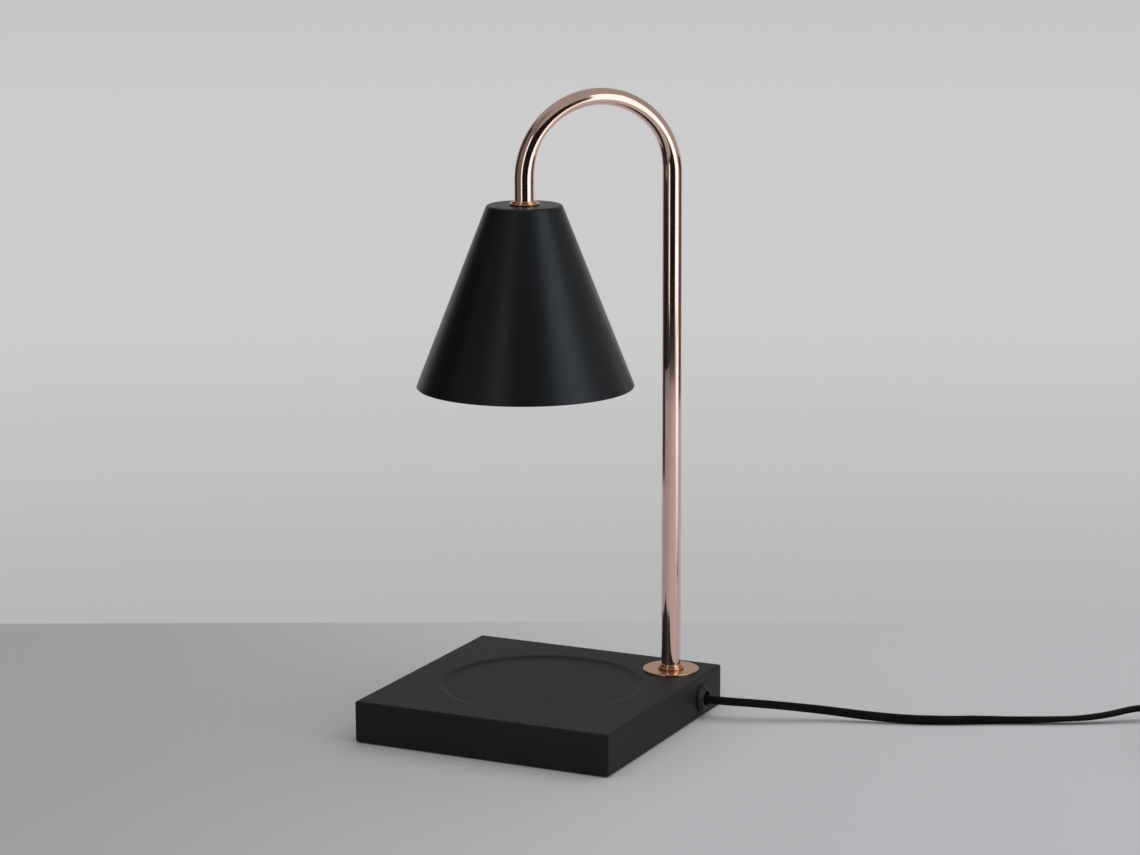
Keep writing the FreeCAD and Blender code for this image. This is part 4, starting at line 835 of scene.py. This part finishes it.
def tooth_tree(material):
    """A disc with teeth round its rim."""
    tree = Tree("thumbwheel_teeth", Radius="Float", Height="Float", Tooth="Float", Teeth="Int")
    radius, height, tooth, teeth = tree.given("Radius", "Height", "Tooth", "Teeth")
    inner = radius - tooth
    wheel = tree.node("GeometryNodeMeshCylinder", {
        "Vertices": 96, "Radius": inner, "Depth": height})
    rim = tree.node("GeometryNodeMeshCircle", {"Vertices": teeth, "Radius": inner})
    peg = tree.node("GeometryNodeMeshCylinder", {
        "Vertices": 16, "Radius": tooth, "Depth": height * 0.94})
    pegs = tree.node("GeometryNodeInstanceOnPoints", {"Points": rim, "Instance": peg})
    tree.finish(tree.node("GeometryNodeJoinGeometry", {"Geometry": [wheel, pegs]}), material)
    return tree


def lathe_tree(material):
    """The object's points, a (radius, 0, height) outline, turned about the upright axis."""
    tree = Tree("lathe", Sides="Int")
    outline, sides = tree.given("Geometry", "Sides")
    count = tree.node("GeometryNodeAttributeDomainSize", {"Geometry": outline})
    skin = tree.node("GeometryNodeMeshGrid", {
        "Size X": 1.0, "Size Y": 1.0, "Vertices X": count, "Vertices Y": sides + 1})
    place = tree.node("GeometryNodeInputPosition")
    row_share, turn_share, _ = tree.parts(place)
    row = (row_share + 0.5) * (count - 1)
    turn = (turn_share + 0.5) * (2 * math.pi)
    spot = tree.node("GeometryNodeSampleIndex", {
        "Geometry": outline, "Value": place, "Index": tree.maths("ROUND", row)},
        data_type="FLOAT_VECTOR")
    radius, _, height = tree.parts(spot)
    spun = tree.vector(radius * tree.maths("COSINE", turn), radius * tree.maths("SINE", turn),
                       height)
    skin = tree.node("GeometryNodeSetPosition", {"Geometry": skin, "Position": spun})
    skin = tree.node("GeometryNodeMergeByDistance", {"Geometry": skin, "Distance": 1e-6})
    tree.finish(skin, material)
    return tree


# ------------------------------------------------------------------------- the stage

TABLE_TURN = 25.58
CAMERA_PLACE = (0.75027, -1.52984, 0.51271)
CAMERA_TURNS = (-25.5813, -11.5164, -0.2008)
CAMERA_LENS = 101.849
WALL_WAY = (-0.386, 0.909, -0.156)

# Name, place, target, size, radiance and colour.
LIGHTS = (
    ("window", (1.036, -0.137, 0.73), (0.054, 0.054, 0.73), (0.69, 1.36), 1.15,
     (0.88, 0.97, 1.0)),
    ("strip", (-0.087, -0.886, 0.45), (0.054, 0.054, 0.45), (0.2, 0.77), 1.1,
     (1.0, 0.99, 0.97)),
    ("top", (0.6, 0.7, 2.3), (0.6, 0.7, 0.0), (3.2, 3.2), 1.95, (1.0, 1.0, 1.0)),
)
# Name, first and last bearing in degrees, distance and height of the near and of the far edge, and
# tone; the one without a tone carries a painted pool of window light, brighter away from the lamp.
CARDS = (
    # The cards with a tone are painted reflections: dark sheets that stand for the darker parts of
    # the room.
    ("dark_card", -92, -31, 1.0, 1.0, 0.0, 0.87, 0.012),
    ("dim_card", -158, -92, 1.0, 1.0, 0.0, 2.2, 0.2),
    ("back_card", -192, -148, 0.6, 0.6, 0.0, 0.75, 0.05),
    ("side_card", 20, 62, 0.9, 0.9, 0.0, 0.33, 0.12),
    ("sill_card", -14, 16, 0.14, 0.96, 0.002, 0.05, None),
)
CARD_STEPS = 24


class LAMP_OT_stage(bpy.types.Operator):
    """Pale table, plain wall, soft lights and the camera"""

    bl_idname = "lamp.stage"
    bl_label = "Stage"

    def execute(self, context):
        self.table()
        self.world(context)
        self.lights(context)
        self.cards()
        self.camera(context)
        return {"FINISHED"}

    def table(self):
        """Slab whose far edge is just behind the lamp."""
        front, back, thick, half_length = -3.4, 0.218, 0.03, 3.0
        outline = rounded([(front, 0, 0), (back, 0, 0.004), (back, -thick, 0),
                           (front, -thick, 0)])
        rings = [[Vector((x, y, z)) for y, z in outline] for x in (-half_length, half_length)]
        table = skinned("stage_table", rings, finish(table_top))
        table.data.transform(Matrix.Rotation(math.radians(TABLE_TURN), 4, "Z"))

    def world(self, context):
        """Pale wall behind the lamp, a little darker low down as painted shade where it meets the
        table, in a dimmer room.
        """
        wall, room = tint("wall"), tint("room")
        world = bpy.data.worlds.new("plain_wall")
        world.use_nodes = True
        nodes = Nodes(world.node_tree)
        way = nodes.node("ShaderNodeTexCoord", output="Generated")
        height = nodes.parts(way)[2]
        # Painted shade: the wall darkens low down, in the corner where it meets the table.
        low = nodes.mix(nodes.between(height, -0.27, -0.15), scaled(wall, 0.77), wall)
        tone = nodes.mix(nodes.between(height, -0.12, -0.05), low, scaled(wall, 0.93))
        tone = nodes.mix(nodes.between(height, 0.02, 0.25), tone, room)
        facing = nodes.measured("DOT_PRODUCT", way, WALL_WAY)
        tone = nodes.mix(nodes.between(facing, 0.2, 0.85), room, tone)
        nodes.feed(world.node_tree.nodes["Background"].inputs[0], tone)
        context.scene.world = world

    def lights(self, context):
        """Area lights that the camera doesn't see; the top one isn't reflected either."""
        for name, place, target, size, radiance, colour in LIGHTS:
            data = bpy.data.lights.new(name, "AREA")
            data.shape = "RECTANGLE"
            data.size, data.size_y = size
            data.energy = radiance * math.pi * size[0] * size[1]
            data.color = colour
            light = bpy.data.objects.new(name, data)
            light.location = place
            aim = Vector(target) - Vector(place)
            light.rotation_euler = aim.to_track_quat("-Z", "Y").to_euler()
            light.visible_camera = False
            light.visible_glossy = name != "top"
            context.scene.collection.objects.link(light)

    def cards(self):
        """Dark cards round the lamp, painted reflections of the room's darker parts, and a board
        towards the window with a painted pool of window light; only reflections show them."""
        for name, start, end, near, far, low, high, tone in CARDS:
            material = finish(card_board, name, tone) if tone else finish(sill_board)
            points, faces = [], []
            for step in range(CARD_STEPS + 1):
                angle = math.radians(start + (end - start) * step / CARD_STEPS)
                way = Vector((math.cos(angle), math.sin(angle), 0))
                points += [stem_axis + way * near + Vector((0, 0, low)),
                           stem_axis + way * far + Vector((0, 0, high))]
                if step:
                    faces.append((2 * step - 2, 2 * step, 2 * step + 1, 2 * step - 1))
            card = piece_from("stage_" + name, points, faces, material)
            card.visible_camera = False
            card.visible_diffuse = False
            card.visible_shadow = False
            card.visible_transmission = False

    def camera(self, context):
        """Camera at its place, with a long lens, turned, pitched and rolled."""
        yaw, pitch, roll = (math.radians(angle) for angle in CAMERA_TURNS)
        ahead = Vector((math.sin(yaw) * math.cos(pitch), math.cos(yaw) * math.cos(pitch),
                        math.sin(pitch)))
        right = Vector((math.cos(yaw), -math.sin(yaw), 0))
        up = right.cross(ahead)
        rolled_right = right * math.cos(roll) + up * math.sin(roll)
        rolled_up = up * math.cos(roll) - right * math.sin(roll)
        data = bpy.data.cameras.new("view")
        data.sensor_width = 36
        data.lens = CAMERA_LENS
        camera = bpy.data.objects.new("view", data)
        turn = Matrix((rolled_right, rolled_up, -ahead)).transposed()
        camera.matrix_world = Matrix.Translation(CAMERA_PLACE) @ turn.to_4x4()
        context.scene.collection.objects.link(camera)
        context.scene.camera = camera


# ------------------------------------------------------------------------- flat flex


def spline_points(name, route):
    """Points along the smooth curve that a route's points pull into shape."""
    curve = bpy.data.curves.new(name, "CURVE")
    curve.dimensions = "3D"
    curve.resolution_u = 8
    spline = curve.splines.new("NURBS")
    spline.points.add(len(route) - 1)
    for point, place in zip(spline.points, route):
        point.co = (*place, 1)
    spline.order_u = 3
    spline.use_endpoint_u = True
    holder = bpy.data.objects.new(name, curve)
    bpy.context.scene.collection.objects.link(holder)
    bpy.context.view_layer.update()
    evaluated = holder.evaluated_get(bpy.context.evaluated_depsgraph_get())
    mesh = bpy.data.meshes.new_from_object(evaluated)
    points = [vertex.co.copy() for vertex in mesh.vertices]
    bpy.data.objects.remove(holder)
    return points


def eased(share):
    """A share from 0 to 1 that starts and ends gently."""
    return share * share * (3 - 2 * share)


def rolled(table, share):
    """The roll at a share of the route, eased between the table's entries."""
    for (start, low), (end, high) in zip(table, table[1:]):
        if share <= end:
            return math.radians(low + (high - low) * eased((share - start) / (end - start)))
    return math.radians(table[-1][1])


def flex_outline():
    """Section of the flat flex: two round cores with a shallow groove between them."""
    core = sizes().flex_thickness / 2
    apart = sizes().flex_width / 2 - core
    sweep, steps, groove = 156, 8, 0.86
    outline = []
    for side, middle in ((1, 0), (-1, 180)):
        for step in range(steps + 1):
            angle = math.radians(middle - sweep / 2 + sweep * step / steps)
            outline.append((side * apart + core * math.cos(angle), core * math.sin(angle)))
        outline.append((0.0, side * core * groove))
    return outline


def flat_flex(name, route, roll_table):
    """The flat flex along a route, with its path and its length."""
    path = spline_points(name + "_line", route)
    lengths = [0.0]
    for before, after in zip(path, path[1:]):
        lengths.append(lengths[-1] + (after - before).length)
    outline = flex_outline()
    sections = []
    for length in lengths:
        turn = Matrix.Rotation(rolled(roll_table, length / lengths[-1]), 2)
        sections.append([tuple(turn @ Vector(spot)) for spot in outline])
    piece = along_path(name, path, sections, finish(flex_sleeve), 60)
    return piece, path, lengths[-1]


def coil_points():
    """The coil's turns: inwards in the lower layer, outwards in the upper one."""
    bundle, waver, waves, per_turn, climb_start, climb = 10.6 * MM, 0.25 * MM, 0.84, 24, 0.48, 0.04
    low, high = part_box("flex_coil")
    middle = (low + high) / 2
    outer = (high.x - low.x) / 2 - sizes().flex_thickness / 2
    layer = (high.z - low.z) / 4
    turns = sizes().coil_turns + 0.25
    count = int(turns * per_turn)
    points = []
    for step in range(count + 1):
        share = step / count
        angle = -2 * math.pi * turns * share
        wave = waver * math.sin(waves * angle) * min(1, 6 * share, 6 * (1 - share))
        radius = outer - bundle * (1 - abs(1 - 2 * share)) + wave
        lift = eased(min(1.0, max(0.0, (share - climb_start) / climb)))
        points.append((middle.x + radius * math.cos(angle), middle.y + radius * math.sin(angle),
                       low.z + layer + 2 * layer * lift))
    return points


class LAMP_OT_flex(bpy.types.Operator):
    """The flat flex in two lengths: lamp to dimmer, and dimmer by way of the coil to plug"""

    bl_idname = "lamp.flex"
    bl_label = "Flex"

    def execute(self, context):
        lead, path, length = flat_flex("flex_to_dimmer", LAMP_ROUTE, LAMP_ROLL)
        show(lead, "flex_pvc", "flex_lamp_to_dimmer")
        route = COIL_ROUTE + coil_points() + PLUG_ROUTE
        tail, path, length = flat_flex("flex_to_plug", route, COIL_ROLL)
        show(tail, "flex_pvc", "flex_dimmer_to_coil", "flex_coil", "flex_coil_to_plug")
        return {"FINISHED"}


# ------------------------------------------------------------------------------ base

FOOT_RADIUS = 6.5 * MM
SEAT_LAND = 6 * MM
SCREW_HEAD, SCREW_DOME, SCREW_SHANK = 3.6 * MM, 1.1 * MM, 1.65 * MM


class LAMP_OT_base(bpy.types.Operator):
    """Powder-coated tray with its round seat"""

    bl_idname = "lamp.base"
    bl_label = "Base"

    def execute(self, context):
        self.tray()
        self.feet()
        self.under_screws()
        paint_nodes(finish(zinc_plate), "base_plate", "base_posts")
        paint_nodes(finish(cast_iron), "counterweight")
        return {"FINISHED"}

    def tray(self):
        """One skin from the seat's middle outwards, down the sides and back inside."""
        size = sizes()
        half, top, low, wall = base_high.x, base_high.z, base_low.z, size.base_wall
        per_side, per_corner = 40, 6

        def square(inset):
            return rounded_square(half - inset, half - inset,
                                  max(size.base_corner - inset, LEAST_CORNER),
                                  per_side, per_corner)

        bearings = [math.atan2(point.y, point.x) for point in square(0)]

        def circle(radius, height):
            return [Vector((radius * math.cos(a), radius * math.sin(a), height)) for a in bearings]

        floor_radius = size.seat_radius - size.seat_slope
        seat = rounded([
            (0, seat_level, 0), (floor_radius, seat_level, size.seat_blend),
            (size.seat_radius, top, size.seat_blend), (size.seat_radius + SEAT_LAND, top, 0)],
            steps=6, closed=False)
        layers = [
            (size.base_edge * 1.5, top), *reversed(edge_arc(size.base_edge, top, 6)),
            (0, top - size.base_edge * 1.4), (0, low + 0.4 * MM), (0.3 * MM, low),
            (wall - 0.2 * MM, low), (wall, low + 0.3 * MM), (wall, top - wall)]
        rings = [circle(0.0, seat_level), circle(floor_radius * 0.5, seat_level)]
        rings += [circle(radius, height) for radius, height in seat[1:]]
        rings += [[Vector((x, y, height)) for x, y in square(inset)] for inset, height in layers]
        rings += [circle(size.seat_radius, top - wall), circle(floor_radius, seat_level - wall),
                  circle(0.0, seat_level - wall)]
        tray = skinned("base_tray", rings, finish(powder_coat), 30, caps=False)
        show(tray, "black_powder_coat", "base_shell")

    def feet(self):
        """Four round pads, one near each corner."""
        low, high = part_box("foot_pads")
        outline = rounded([(0, 0, 0), (FOOT_RADIUS, 0, 0.5 * MM), (FOOT_RADIUS, high.z, 0.1 * MM),
                           (0, high.z, 0)], steps=4, closed=False)
        pads = []
        for sx in (1, -1):
            for sy in (1, -1):
                centre = Vector((sx * (high.x - FOOT_RADIUS), sy * (high.y - FOOT_RADIUS), 0))
                pads.append(turned("foot_%d" % len(pads), outline, centre, finish(foot_rubber),
                                   48, closed=False))
        show(join(pads, "foot_set"), "black_rubber", "foot_pads")

    def under_screws(self):
        """Pan-head screws of the base plate, and of the weight, which has three."""
        tree = screw_tree(finish(screw_metal))
        for name, node, count in (("plate_screw_set", "base_screws", 4),
                                  ("weight_screw_set", "weight_screws", 3)):
            low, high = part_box(node)
            x, y, z = high.x - SCREW_HEAD, high.y - SCREW_HEAD, low.z + SCREW_DOME / 2
            places = [(-x, -y, z), (x, -y, z), (-x, y, z), (x, y, z)][:count]
            screws = tree.run(name, seed_object(name + "_seed", places), Matrix.Identity(4),
                              Head=SCREW_HEAD, Dome=SCREW_DOME, Shank=SCREW_SHANK,
                              Length=high.z - low.z - 1.7 * MM)
            show(screws, "screw_steel", node)


# ------------------------------------------------------------------ stem and collars

class LAMP_OT_stem(bpy.types.Operator):
    """Rose-gold gooseneck with its flange and collars"""

    bl_idname = "lamp.stem"
    bl_label = "Gooseneck"

    def execute(self, context):
        self.tube()
        self.flange()
        self.collar("stem_ring", "stem_collar", stem_axis)
        self.collar("shade_ring", "shade_collar", shade_axis)
        paint_nodes(finish(zinc_plate), "stem_washer", "stem_nut")
        paint_nodes(plain_black(), "stem_bush_lower", "stem_bush_upper")
        return {"FINISHED"}

    def tube(self):
        """The tube's wall, swept up, over and down, a little flattened inside the bend."""
        rise_steps, bend_steps, drop_steps, sides = 30, 96, 8, 64
        along = (shade_axis - stem_axis).normalized()
        across = Vector((-along.y, along.x, 0))
        bend = stem_high.z - tube_radius - bend_radius
        upright = Vector((0, 0, 1))
        path = [(stem_axis + upright * (stem_low.z + (bend - stem_low.z) * step / rise_steps),
                 -along, 0) for step in range(rise_steps)]
        middle = stem_axis + along * bend_radius + upright * bend
        for step in range(bend_steps + 1):
            angle = math.pi * step / bend_steps
            outward = upright * math.sin(angle) - along * math.cos(angle)
            flat = eased(min(1, 1.5 * math.sin(angle))) * sizes().bend_flat
            path.append((middle + outward * bend_radius, outward, flat))
        for step in range(1, drop_steps + 1):
            height = bend + (tube_end - bend) * step / drop_steps
            path.append((shade_axis + upright * height, along, 0))
        outside, inside = [], []
        for centre, outward, flat in path:
            for skin, radius in ((outside, tube_radius), (inside, tube_radius - sizes().tube_wall)):
                ring = []
                for step in range(sides):
                    angle = 2 * math.pi * step / sides
                    out = radius * math.sin(angle)
                    if out < 0:
                        out *= 1 - flat / tube_radius
                    ring.append(centre + outward * out + across * radius * math.cos(angle))
                skin.append(ring)
        tube = skinned("gooseneck", outside + inside[::-1],
                       finish(rose_gold, "rose_gold_plating", tint("plating"), 0.09), 50,
                       closed=True)
        show(tube, "rose_gold", "stem_tube")

    def flange(self):
        """Plain disc where the tube meets the base."""
        low, top, radius = disc("stem_flange")
        outline = rounded([
            (tube_bore, low, 0), (radius, low, 0.1 * MM), (radius, top, 0.4 * MM),
            (tube_bore, top, 0)], steps=5)
        plating = finish(rose_gold, "flange_plating", tint("collar"), 0.26)
        show(turned("stem_foot_disc", outline, stem_axis, plating, 160),
             "rose_gold", "stem_flange")

    def collar(self, name, node, axis):
        """Two rounded rings, the upper one narrower."""
        low, high, radius = disc(node)
        middle = (low + high) / 2
        upper = radius - 1.1 * MM
        bead = (high - low) * 0.24
        outline = rounded([
            (tube_bore, low, 0), (radius, low, bead), (radius, middle, bead),
            (upper - 0.3 * MM, middle, 0.05 * MM), (upper, middle + 0.15 * MM, 0.1 * MM),
            (upper, high, bead), (tube_bore, high, 0.05 * MM)], steps=6)
        plating = finish(rose_gold, "collar_plating", tint("collar"), 0.12)
        show(turned(name, outline, axis, plating, 128), "rose_gold", node)


# ----------------------------------------------------------------------------- shade

class LAMP_OT_shade(bpy.types.Operator):
    """Spun conical shade"""

    bl_idname = "lamp.shade"
    bl_label = "Shade"

    def execute(self, context):
        size = sizes()
        wall, narrow, soft = size.shade_wall, size.shade_top, size.shade_edge
        low, top, wide = disc("shade")
        across = wall * 1.07
        inner_top = narrow + (wide - narrow) * wall / (top - low) - across
        outline = rounded([
            (tube_bore, top - wall, 0), (inner_top, top - wall, soft - wall),
            (wide - across, low, 0.25 * MM), (wide, low, 0.4 * MM),
            (narrow, top, soft), (tube_bore, top, 0)], steps=7)
        shade = turned("spun_shade", outline, shade_axis, finish(satin_paint), 256, sharp=45)
        show(shade, "black_powder_coat", "shade")
        paint_nodes(finish(zinc_plate), "shade_washer", "shade_nut", "holder_bracket")
        paint_nodes(finish(screw_metal), "bracket_screws")
        return {"FINISHED"}


# ------------------------------------------------------------------- holder and bulb

class LAMP_OT_bulb(bpy.types.Operator):
    """Twist-lock halogen bulb and its holder"""

    bl_idname = "lamp.bulb"
    bl_label = "Bulb and holder"

    def execute(self, context):
        paint_nodes(finish(glazed_ceramic), "holder_body", "holder_face")
        paint_nodes(finish(brass), "holder_contacts")
        paint_nodes(finish(nickel), "bulb_pins")
        self.cap()
        self.reflector()
        self.front()
        self.capsule()
        return {"FINISHED"}

    def solid(self, name, corners, material, slot, node, steps, sides=96):
        """A round solid on the bulb, from (radius, height, blend) corners."""
        outline = rounded(corners, steps=steps, closed=False)
        piece = turned(name, outline, shade_axis, material, sides, closed=False)
        show(piece, slot, node, body="bulb")

    def cap(self):
        """Ceramic cap, chamfered at the reflector's end."""
        low, high, radius = disc("bulb_cap")
        chamfer = 1.2 * MM
        self.solid("bulb_ceramic_cap", [
            (0, low, 0), (radius - chamfer, low, 0), (radius, low + chamfer, 0.6 * MM),
            (radius, high, 1.4 * MM), (0, high, 0)],
            finish(glazed_ceramic), "white_ceramic", "bulb_cap", 5)

    def reflector(self):
        """Bell that opens downwards from the cap to its rim."""
        low, high, rim = disc("bulb_reflector")
        neck, wall, rim_top = 13.4 * MM, 1.2 * MM, low + 3.2 * MM
        throat = neck - 0.8 * MM
        cap_low = disc("bulb_cap")[0]
        outer = []
        for step in range(17):
            share = step / 16
            bulge = math.sin(share * math.pi / 2) ** 1.1
            outer.append((neck + (rim - neck) * bulge, cap_low + (rim_top - cap_low) * share))
        inner = [(radius - wall, height) for radius, height in reversed(outer)]
        outline = [
            (neck, high), *outer, (rim, low + 0.3 * MM), (rim - 0.3 * MM, low), (rim - wall, low),
            *inner[:-1], (throat, cap_low), (throat, high)]
        bell = turned("bulb_bell", outline, shade_axis, finish(mirror_coat), 96, sharp=30)
        show(bell, "reflector_glass", "bulb_reflector", body="bulb")

    def front(self):
        """Flat front glass."""
        low, high, radius = disc("bulb_lens")
        self.solid("bulb_front_glass", [
            (0, low, 0), (radius, low, 0.5 * MM), (radius, high, 0.2 * MM), (0, high, 0)],
            finish(clear_glass, "front_glass"), "lamp_glass", "bulb_lens", 4)

    def capsule(self):
        """Capsule with a domed lower end."""
        low, high, radius = disc("bulb_capsule")
        self.solid("bulb_inner_capsule", [
            (0, low, 0), (radius, low, radius * 0.85), (radius, high, 0), (0, high, 0)],
            finish(clear_glass, "capsule_glass"), "lamp_glass", "bulb_capsule", 8, 64)


# -------------------------------------------------------------------------- bushing

class LAMP_OT_bushing(bpy.types.Operator):
    """Black bushing where the flex leaves the base"""

    bl_idname = "lamp.bushing"
    bl_label = "Cord bushing"

    def execute(self, context):
        low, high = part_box("cord_bushing")
        middle = (low + high) / 2
        face = base_high.x
        bore, barrel, flange, nose = 4.1 * MM, 5.2 * MM, 7.5 * MM, 5.6 * MM
        reach = high.x - face
        outline = rounded([
            (bore, low.x - face, 0), (barrel, low.x - face, 0.2 * MM), (barrel, 0, 0),
            (flange, 0, 0.15 * MM), (flange, reach / 3, 0.6 * MM), (nose, reach, 0.7 * MM),
            (bore, reach, 0.5 * MM), (bore - 0.3 * MM, reach * 0.4, 0.3 * MM)], steps=5)
        bushing = turned("flex_bushing", outline, (face, middle.y, middle.z),
                         finish(moulded_black, "bushing_plastic", 0.42, 1200), 96,
                         along=(1, 0, 0))
        show(bushing, "black_plastic", "cord_bushing")
        paint_nodes(plain_black(), "bushing_nut", "anchor_base", "anchor_bar")
        paint_nodes(finish(screw_metal), "anchor_screws")
        paint_nodes(finish(flex_sleeve), "flex_in_base")
        paint_nodes(finish(natural_nylon), "terminal_block")
        paint_nodes(finish(wire_sleeve, "core_sleeve", (0.16, 0.05, 0.03)), "core_wires")
        paint_nodes(finish(wire_sleeve, "stem_sleeve", (0.55, 0.52, 0.45)), "stem_wires")
        return {"FINISHED"}


# --------------------------------------------------------------------------- dimmer

DIMMER_PLACE = turn_and_place(361.2 * MM, 155.6 * MM, 10)
PLUG_PLACE = turn_and_place(339.3 * MM, 75.5 * MM, 100)
RELIEF_LENGTH, RELIEF_TIP = 20 * MM, 3.7 * MM


def case_plastic():
    return finish(moulded_black, "case_plastic", 0.46, 1100)


def strain_relief(name, node, base, piece_place, x, height, outward):
    """A ribbed strain relief that points along a piece's +X or -X."""
    tree = rib_tree(finish(moulded_black, "relief_rubber", 0.6, 700))
    place = (piece_place @ Matrix.Translation((x, 0, height))
             @ Matrix.Rotation(math.radians(90 * outward), 4, "Y"))
    relief = tree.run(name, seed_object(name + "_seed"), place, Length=RELIEF_LENGTH,
                      Base=base, Tip=RELIEF_TIP, Groove=0.5 * MM, Ribs=6)
    show(relief, "flex_pvc", node)


class LAMP_OT_dimmer(bpy.types.Operator):
    """Thumbwheel dimmer on the flex"""

    bl_idname = "lamp.dimmer"
    bl_label = "Dimmer"

    def execute(self, context):
        half_x, half_y, corner, edge = 35 * MM, 15 * MM, 7 * MM, 3 * MM
        seam, top = 8.5 * MM, 20 * MM
        groove, gap, lip, side = 0.35 * MM, 0.075 * MM, 2 * MM, 0.5 * MM
        lower = edge_arc(edge, 0, 6, upward=False)[::-1] + [
            (0, edge * 1.15), (0, seam - side), (groove, seam - gap), (lip, seam - gap)]
        upper = [(lip, seam + gap), (groove, seam + gap), (0, seam + side),
                 (0, top - edge * 1.15)] + edge_arc(edge, top, 6)
        for name, node, layers in (("dimmer_case_lower", "dimmer_lower", lower),
                                   ("dimmer_case_upper", "dimmer_upper", upper)):
            half = soft_block(name, half_x, half_y, corner, layers, case_plastic(), DIMMER_PLACE)
            show(half, "plug_plastic", node)
        self.wheel()
        for name, node, outward in (("relief_lamp_side", "dimmer_boot_lamp_side", -1),
                                    ("relief_plug_side", "dimmer_boot_plug_side", 1)):
            strain_relief(name, node, 4.6 * MM, DIMMER_PLACE, outward * half_x, seam, outward)
        paint_nodes(finish(screw_metal), "dimmer_screws")
        paint_nodes(finish(natural_nylon), "dimmer_shaft", "dimmer_potentiometer",
                    "dimmer_components")
        paint_nodes(finish(board_laminate), "dimmer_board")
        paint_nodes(finish(flex_sleeve), "dimmer_leads")
        return {"FINISHED"}

    def wheel(self):
        """Toothed wheel with a pale line on it that shows how far it is turned."""
        low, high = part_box("dimmer_wheel")
        middle = (low + high) / 2
        outward = DIMMER_PLACE.to_3x3() @ Vector((0, 1, 0))
        tree = tooth_tree(finish(moulded_black, "wheel_plastic", 0.4, 1500,
                                 (tuple(middle), tuple(outward), 1.2 * MM)))
        wheel = tree.run("dimmer_thumbwheel", seed_object("thumbwheel_seed"),
                         Matrix.Translation(middle), Radius=(high.x - low.x) / 2,
                         Height=high.z - low.z, Tooth=0.55 * MM, Teeth=36)
        show(wheel, "plug_plastic", "dimmer_wheel", body="thumbwheel")


# ------------------------------------------------------------------- plug and strap

# Distance from the strain relief in millimetres, and shares of the full width and height.
PLUG_STATIONS = (
    (0.0, 0.56, 0.80), (0.4, 0.60, 0.86), (1.6, 0.63, 0.91), (4.0, 0.70, 0.94),
    (7.5, 0.86, 0.97), (11.0, 0.97, 1.0), (14.0, 1.0, 1.0), (30.6, 1.0, 1.0),
    (31.6, 0.97, 0.96), (32.0, 0.92, 0.9),
)


class LAMP_OT_plug(bpy.types.Operator):
    """Two-pin plug, and the strap round the coil"""

    bl_idname = "lamp.plug"
    bl_label = "Plug and strap"

    def execute(self, context):
        half, tall = 13 * MM, 7.5 * MM
        self.case(half, tall)
        self.strap()
        strain_relief("relief_plug", "plug_boot", 5.2 * MM, PLUG_PLACE, 0, tall, -1)
        paint_nodes(finish(brass), "plug_blades")
        return {"FINISHED"}

    def case(self, half, tall):
        """Body that widens from the strain relief to the face."""
        rings = []
        for x, wide, high in PLUG_STATIONS:
            outline = rounded_square(half * wide, tall * high, 4 * MM, 6, 8)
            rings.append([PLUG_PLACE @ Vector((x * MM, y, z + tall)) for y, z in outline])
        show(skinned("plug_case", rings, case_plastic(), 40), "plug_plastic", "plug_body")

    def strap(self):
        """A strap wound once round the coil's bundle."""
        bundle, thick, half_width, bearing = 13.8 * MM, 0.6 * MM, 4.5 * MM, 150
        low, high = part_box("flex_coil")
        centre = (low + high) / 2
        outer = (high.x - low.x) / 2
        inner = outer - bundle
        place = turn_and_place(centre.x, centre.y, bearing)
        middle = (inner + outer) / 2
        half_x = (outer - inner) / 2 + thick * 1.2
        half_z = (high.z + thick) / 2
        outside = rounded_square(half_x, half_z, 2.2 * MM, 8, 6)
        inside = rounded_square(half_x - thick, half_z - thick, 1.6 * MM, 8, 6)
        rings = []
        for shape, y in ((outside, -half_width), (outside, half_width), (inside, half_width),
                         (inside, -half_width)):
            rings.append([place @ Vector((middle + x, y, z + half_z)) for x, z in shape])
        strap = skinned("coil_strap", rings, finish(strap_weave), 30, closed=True)
        show(strap, "black_plastic", "coil_tie")


# ----------------------------------------------------------------------------- panel

OPERATORS = (
    LAMP_OT_stage, LAMP_OT_base, LAMP_OT_stem, LAMP_OT_shade, LAMP_OT_bulb, LAMP_OT_bushing,
    LAMP_OT_dimmer, LAMP_OT_plug, LAMP_OT_flex,
)


class LAMP_PT_panel(bpy.types.Panel):
    """Buttons that make the lamp's pieces"""

    bl_idname = "LAMP_PT_panel"
    bl_label = "Candle Warmer Lamp"
    bl_space_type = "VIEW_3D"
    bl_region_type = "UI"
    bl_category = "Lamp"

    def draw(self, context):
        for operator in OPERATORS:
            self.layout.operator(operator.bl_idname)


CLASSES = (LampSizes, LampColours) + OPERATORS + (LAMP_PT_panel,)


def register():
    for item in CLASSES:
        bpy.utils.register_class(item)
    bpy.types.Scene.lamp_sizes = bpy.props.PointerProperty(type=LampSizes)
    bpy.types.Scene.lamp_colours = bpy.props.PointerProperty(type=LampColours)


def unregister():
    del bpy.types.Scene.lamp_sizes
    del bpy.types.Scene.lamp_colours
    for item in reversed(CLASSES):
        bpy.utils.unregister_class(item)


def main():
    register()
    bpy.context.scene.view_settings.view_transform = "Standard"
    bpy.ops.lamp.stage()
    bpy.ops.lamp.base()
    bpy.ops.lamp.stem()
    bpy.ops.lamp.shade()
    bpy.ops.lamp.bulb()
    bpy.ops.lamp.bushing()
    bpy.ops.lamp.dimmer()
    bpy.ops.lamp.plug()
    bpy.ops.lamp.flex()


if __name__ == "__main__":
    main()
